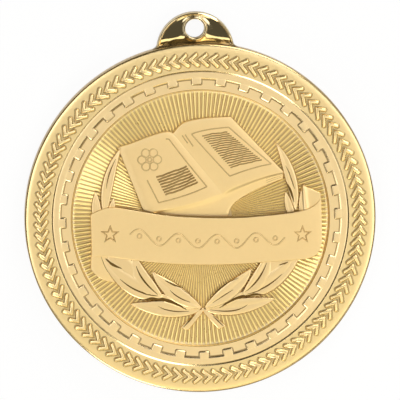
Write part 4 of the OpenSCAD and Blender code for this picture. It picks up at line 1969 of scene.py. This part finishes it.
@dataclass(frozen=True)
class Laurel(SubAssembly):
    """Two laurel sprays that cross at the bottom, and the leaf tips that show above the banner."""

    # base_x, base_y, bend_x, bend_y, tip_x, tip_y, outer, inner, height
    leaves: Table = (
        (0.470, -0.545, 0.640, -0.400, 0.740, -0.190, 0.085, 0.110, 0.72),
        (0.016, -0.716, 0.220, -0.668, 0.440, -0.560, 0.036, 0.036, 0.64),
        (0.332, -0.617, 0.590, -0.566, 0.793, -0.272, 0.064, 0.080, 0.76),
        (0.315, -0.614, 0.476, -0.505, 0.538, -0.245, 0.085, 0.052, 0.78),
        (0.022, -0.726, 0.283, -0.739, 0.568, -0.660, 0.060, 0.076, 0.60),
        (0.016, -0.707, 0.253, -0.582, 0.391, -0.413, 0.068, 0.062, 0.74),
        (0.800, -0.060, 0.815, 0.110, 0.816, 0.238, 0.045, 0.036, 0.56),
        (0.735, -0.060, 0.690, 0.080, 0.677, 0.186, 0.036, 0.032, 0.52),
        (0.750, 0.040, 0.744, 0.337, 0.611, 0.576, 0.048, 0.046, 0.74),
    )
    # across, up, crease: share of the half width, and of the way from the edge up to the crest; crease is
    # painted shade
    section: Table = mirrored((
        (-1.00, -1.00, 0.9), (-1.00, 0.00, 0.8), (-0.95, 0.40, 0.45), (-0.87, 0.72, 0.15), (-0.74, 0.92, 0.0),
        (-0.55, 1.00, 0.0), (-0.30, 0.96, 0.0), (-0.10, 0.84, 0.0), (0.00, 0.78, 0.1),
    ))
    # Dark lines of painted shade: the midribs and the slits between overlapping leaves.
    # x and y of both ends and of the middle, width in millimetres
    grooves: Table = (
        (-0.500, -0.630, -0.310, -0.634, -0.130, -0.720, 0.50),
        (-0.772, -0.277, -0.707, -0.337, -0.630, -0.375, 0.40),
        (-0.294, -0.480, -0.217, -0.524, -0.150, -0.549, 0.30),
        (-0.256, -0.560, -0.190, -0.620, -0.098, -0.663, 0.22),
        (-0.353, -0.685, -0.245, -0.728, -0.109, -0.734, 0.20),
        (-0.516, -0.359, -0.462, -0.476, -0.353, -0.592, 0.30),
        (-0.647, -0.457, -0.516, -0.555, -0.353, -0.603, 0.28),
        (-0.652, 0.495, -0.707, 0.380, -0.734, 0.261, 0.22),
        (0.500, -0.622, 0.310, -0.632, 0.130, -0.716, 0.44),
        (0.680, -0.370, 0.645, -0.384, 0.609, -0.391, 0.28),
        (0.057, -0.652, 0.159, -0.549, 0.288, -0.482, 0.28),
        (0.078, -0.674, 0.152, -0.628, 0.243, -0.574, 0.20),
        (0.054, -0.728, 0.235, -0.742, 0.352, -0.697, 0.20),
        (0.511, -0.370, 0.440, -0.500, 0.337, -0.592, 0.28),
        (0.630, -0.462, 0.500, -0.560, 0.348, -0.614, 0.26),
        (0.679, 0.397, 0.720, 0.300, 0.747, 0.207, 0.20),
        (0.685, 0.266, 0.716, 0.190, 0.739, 0.103, 0.34),
        (-0.060, -0.762, -0.110, -0.811, -0.160, -0.862, 0.20),
        (0.075, -0.778, 0.120, -0.823, 0.160, -0.864, 0.20),
    )
    groove_h: float = 0.02
    groove_steps: int = 24
    edge_share: float = 0.7
    sag: float = 0.18
    steps: int = 32
    # a leaf's half width at its ends, and the powers that shift and fill its belly
    tip_share: float = 0.05
    belly_shift: float = 0.85
    belly_fill: float = 0.8
    # x and y of each corner of the right spray's stalk
    stalk: Table = ((-0.020, -0.700), (0.045, -0.738), (0.182, -0.864), (0.120, -0.889), (0.008, -0.760))
    stalk_height: float = 0.45
    stalk_flare: float = 0.04
    stalk_foot_shade: float = 0.8
    # millimetres inwards from the outline and below the top, crease (painted shade)
    stalk_rings: Table = ((0.0, 0.14, 0.2), (0.06, 0.05, 0.0), (0.13, 0.01, 0.0), (0.18, 0.0, 0.0))

    def swell(self, t: float) -> float:
        """Half width of a leaf at share t of its midrib, as a share of the widest."""
        belly = max(math.sin(math.pi * t**self.belly_shift), 0.0) ** self.belly_fill
        return mix(self.tip_share, 1.0, belly)

    def leaf(self, draft: MeshDraft, row: Row, side: float) -> None:
        """Adds one leaf.

        Args:
            draft: the piece that takes it.
            row: the leaf's row of the table.
            side: 1 for the right spray, -1 for the left one.
        """
        m = self.medal
        *places, outer, inner, height = row
        base, bend, tip = np.array(places).reshape(3, 2) * m.field_r
        loops = []
        for t in np.linspace(0, 1, self.steps + 1):
            on = bow(base, bend, tip, t)
            run = unit(mix(bend, tip, t) - mix(base, bend, t))
            left = np.array([-run[1], run[0]])
            swell = self.swell(float(t))
            crest = m.rise(height * (1 - self.sag * (1 - swell)))
            edge = mix(m.floor_z, crest, self.edge_share)
            loop = []
            for across, up, _ in self.section:
                half = (outer if across < 0 else inner) * m.field_r * swell
                x, y = on + left * half * across
                loop.append((side * x, y, m.floor_z - m.root if up < 0 else mix(edge, crest, up)))
            loops.append(loop)
        draft.skin(np.array(loops), np.array([[crease for _, _, crease in self.section]] * len(loops)))

    def sprays(self) -> Object:
        """Makes both sprays with their stalks.

        Returns:
            The piece.
        """
        m = self.medal
        top = m.rise(self.stalk_height)
        levels = [
            Level(self.stalk_flare, m.floor_z - m.root, self.stalk_foot_shade),
            Level(self.stalk_flare, m.floor_z, self.stalk_foot_shade),
        ]
        levels += [Level(-inwards, top - down, crease) for inwards, down, crease in self.stalk_rings]
        draft = MeshDraft()
        for side in (1.0, -1.0):
            for row in self.leaves:
                self.leaf(draft, row, side)
            draft.raised(np.array(self.stalk) * m.field_r * np.array([side, 1.0]), levels)
        return self.dress(draft.build("laurel", self.finishes[Finish.LEAF], smooth_deg=55))

    def groove_lines(self, sprays: Object) -> Object:
        """Makes the painted shade of the midribs and of the gaps between leaves, as dark lines laid on the
        sprays.

        Args:
            sprays: the piece that carries them.

        Returns:
            The piece.
        """
        paths = PathDraft()
        widest = max(row[-1] for row in self.grooves)
        for *places, width in self.grooves:
            start, middle, end = np.array(places).reshape(3, 2) * self.medal.field_r
            bend = 2 * middle - (start + end) / 2
            flat = [bow(start, bend, end, t) for t in np.linspace(0, 1, self.groove_steps + 1)]
            paths.add(drape(flat, sprays, self.medal.floor_z), scale=width / widest, pointed=True)
        return self.lines(paths, "laurel_grooves", Finish.PAINTED_SHADE, widest, self.groove_h, crest=1.0)

    def build(self) -> list[Object]:
        """Builds both sprays and the grooves on them.

        Returns:
            The pieces.
        """
        sprays = self.sprays()
        return [sprays, self.groove_lines(sprays)]


# Stage


WARM = (1.0, 0.93, 0.66)


@dataclass(frozen=True)
class SoftLight:
    """Rectangular soft light, placed by its direction and its angular size seen from the medal."""

    name: str
    azimuth_deg: float
    tilt_deg: float
    width_deg: float
    height_deg: float
    radiance: float
    tint: tuple[float, float, float] = (1.0, 1.0, 1.0)
    distance: float = 0.5

    def build(self) -> Object:
        """Makes the light.

        Returns:
            The light. Its azimuth runs anticlockwise from +X, and its tilt from straight up.
        """
        tilt = math.radians(self.tilt_deg)
        azimuth = math.radians(self.azimuth_deg)
        out = math.sin(tilt)
        towards = Vector((out * math.cos(azimuth), out * math.sin(azimuth), math.cos(tilt)))
        data = bpy.data.lights.new(self.name, "AREA")
        data.shape = "RECTANGLE"
        data.size = 2 * self.distance * math.tan(math.radians(self.width_deg) / 2)
        data.size_y = 2 * self.distance * math.tan(math.radians(self.height_deg) / 2)
        data.energy = self.radiance * math.pi * data.size * data.size_y
        data.color = self.tint
        light = bpy.data.objects.new(self.name, data)
        light.location = towards * self.distance
        light.rotation_euler = (-towards).to_track_quat("-Z", "Y").to_euler()
        bpy.context.scene.collection.objects.link(light)
        return light


@dataclass(frozen=True)
class Studio:
    """Pale floor, soft lights and the camera at the photograph's viewing angle."""

    floor_side: float = 3.0
    floor_z: float = -0.0001
    paper_white: tuple[float, float, float] = (0.8, 0.8, 0.8)
    tooth_scale: float = 300.0
    tooth_h: float = 0.00002
    glow_share: float = 0.9
    pale: float = 1.02
    world_dim: tuple[float, float, float] = (0.09, 0.085, 0.07)
    distance: float = 1.2
    view_width: float = 0.0578
    sensor_width: float = 36.0
    clip_end: float = 20.0
    from_top_deg: float = 7.5
    from_left_deg: float = 3.0
    roll_deg: float = 1.6
    target: tuple[float, float, float] = (0.0, 2.7, 2.6)
    # name, azimuth, tilt, width, height, radiance
    lights: tuple[SoftLight, ...] = (
        SoftLight("upper_right", 42, 22, 28, 20, 2.0),
        SoftLight("upper_left", 138, 31, 24, 32, 1.85),
        SoftLight("left_wall", 187, 36, 36, 30, 1.8),
        SoftLight("right_wall", 352, 42, 36, 30, 1.8),
        SoftLight("lower_panel", 285, 32, 50, 22, 1.55, tint=WARM, distance=0.3),
        SoftLight("lower_far", 278, 56, 30, 22, 0.9, tint=WARM, distance=0.3),
        SoftLight("low_left", 214, 66, 34, 28, 0.4),
        SoftLight("low_right", 312, 74, 44, 16, 0.9),
        SoftLight("far_right", 28, 60, 34, 20, 0.6),
        SoftLight("upper_strip", 64, 67, 28, 32, 4.6),
        SoftLight("lower_strip", 249, 71, 22, 28, 5.0),
    )

    def paper(self) -> Material:
        """Makes the floor's material: lit white paper with a faint tooth.

        Returns:
            The material.
        """
        made = bpy.data.materials.new("pale_paper")
        build = start_nodes(made)
        tooth = build.noise(build.place(), self.tooth_scale, detail=2.0)
        bump = build.node("ShaderNodeBump", {"Distance": self.tooth_h, "Height": tooth})
        matte = build.node(
            "ShaderNodeBsdfDiffuse", {"Color": (*self.paper_white, 1.0), "Normal": bump.outputs[0]}
        )
        glow = build.node("ShaderNodeEmission", {"Color": (1.0, 1.0, 1.0, 1.0), "Strength": self.pale})
        seen = build.node("ShaderNodeLightPath").outputs["Is Camera Ray"]
        share = build.math("MULTIPLY", seen, self.glow_share)
        mixed = build.node("ShaderNodeMixShader", {0: share, 1: matte.outputs[0], 2: glow.outputs[0]})
        build.node("ShaderNodeOutputMaterial", {"Surface": mixed.outputs[0]})
        return made

    def floor(self) -> None:
        """Adds the pale floor."""
        half = self.floor_side / 2
        corners = [(x * half, y * half, self.floor_z) for x, y in ((-1, -1), (1, -1), (1, 1), (-1, 1))]
        mesh = bpy.data.meshes.new("floor")
        mesh.from_pydata(corners, [], [(0, 1, 2, 3)])
        mesh.materials.append(self.paper())
        sheet = bpy.data.objects.new("floor", mesh)
        bpy.context.scene.collection.objects.link(sheet)

    def world(self) -> None:
        """Adds a dim room for the reflections and a pale one for the camera."""
        world = bpy.data.worlds.new("studio")
        build = start_nodes(world)
        room = build.node("ShaderNodeBackground", {"Color": (*self.world_dim, 1.0), "Strength": 1.0})
        pale = build.node("ShaderNodeBackground", {"Color": (1.0, 1.0, 1.0, 1.0), "Strength": self.pale})
        seen = build.node("ShaderNodeLightPath").outputs["Is Camera Ray"]
        mixed = build.node("ShaderNodeMixShader", {0: seen, 1: room.outputs[0], 2: pale.outputs[0]})
        build.node("ShaderNodeOutputWorld", {"Surface": mixed.outputs[0]})
        bpy.context.scene.world = world

    def camera(self) -> None:
        """Adds the camera, a long lens that looks from above and a little from the left."""
        data = bpy.data.cameras.new("camera")
        data.sensor_width = self.sensor_width
        data.lens = self.sensor_width * self.distance / self.view_width
        data.clip_end = self.clip_end
        camera = bpy.data.objects.new("camera", data)
        up = math.sin(math.radians(self.from_top_deg))
        aside = math.sin(math.radians(self.from_left_deg))
        back = Vector((-aside, up, math.sqrt(1 - up**2 - aside**2)))
        roll = math.radians(self.roll_deg)
        hint = Vector((math.sin(roll), math.cos(roll), 0.0))
        right = hint.cross(back).normalized()
        turn = Matrix((right, back.cross(right), back)).transposed().to_4x4()
        camera.matrix_world = Matrix.Translation(Vector(self.target) * MM + back * self.distance) @ turn
        bpy.context.scene.collection.objects.link(camera)
        bpy.context.scene.camera = camera

    def build(self) -> None:
        """Builds the stage."""
        self.camera()
        for light in self.lights:
            light.build()
        self.floor()
        self.world()
        view = bpy.context.scene.view_settings
        view.view_transform = "Standard"
        view.look = "None"


# Making the medal


def main() -> None:
    """Builds the stage and the medal's sub-assemblies in order, and reports each piece."""
    logging.basicConfig(level=logging.INFO, format="%(name)s: %(message)s")
    shared = (MedalSizes.from_frame(), FinishShelf(), NodeWorkshop())
    Studio().build()
    for kind in (DiscBody, ChevronRing, BandTabs, RayField, HangingEar, OpenBook, Banner, Laurel):
        for piece in kind(*shared).build():
            LOG.info("%s: %d faces", piece.name, len(piece.data.polygons))


if __name__ == "__main__":
    main()
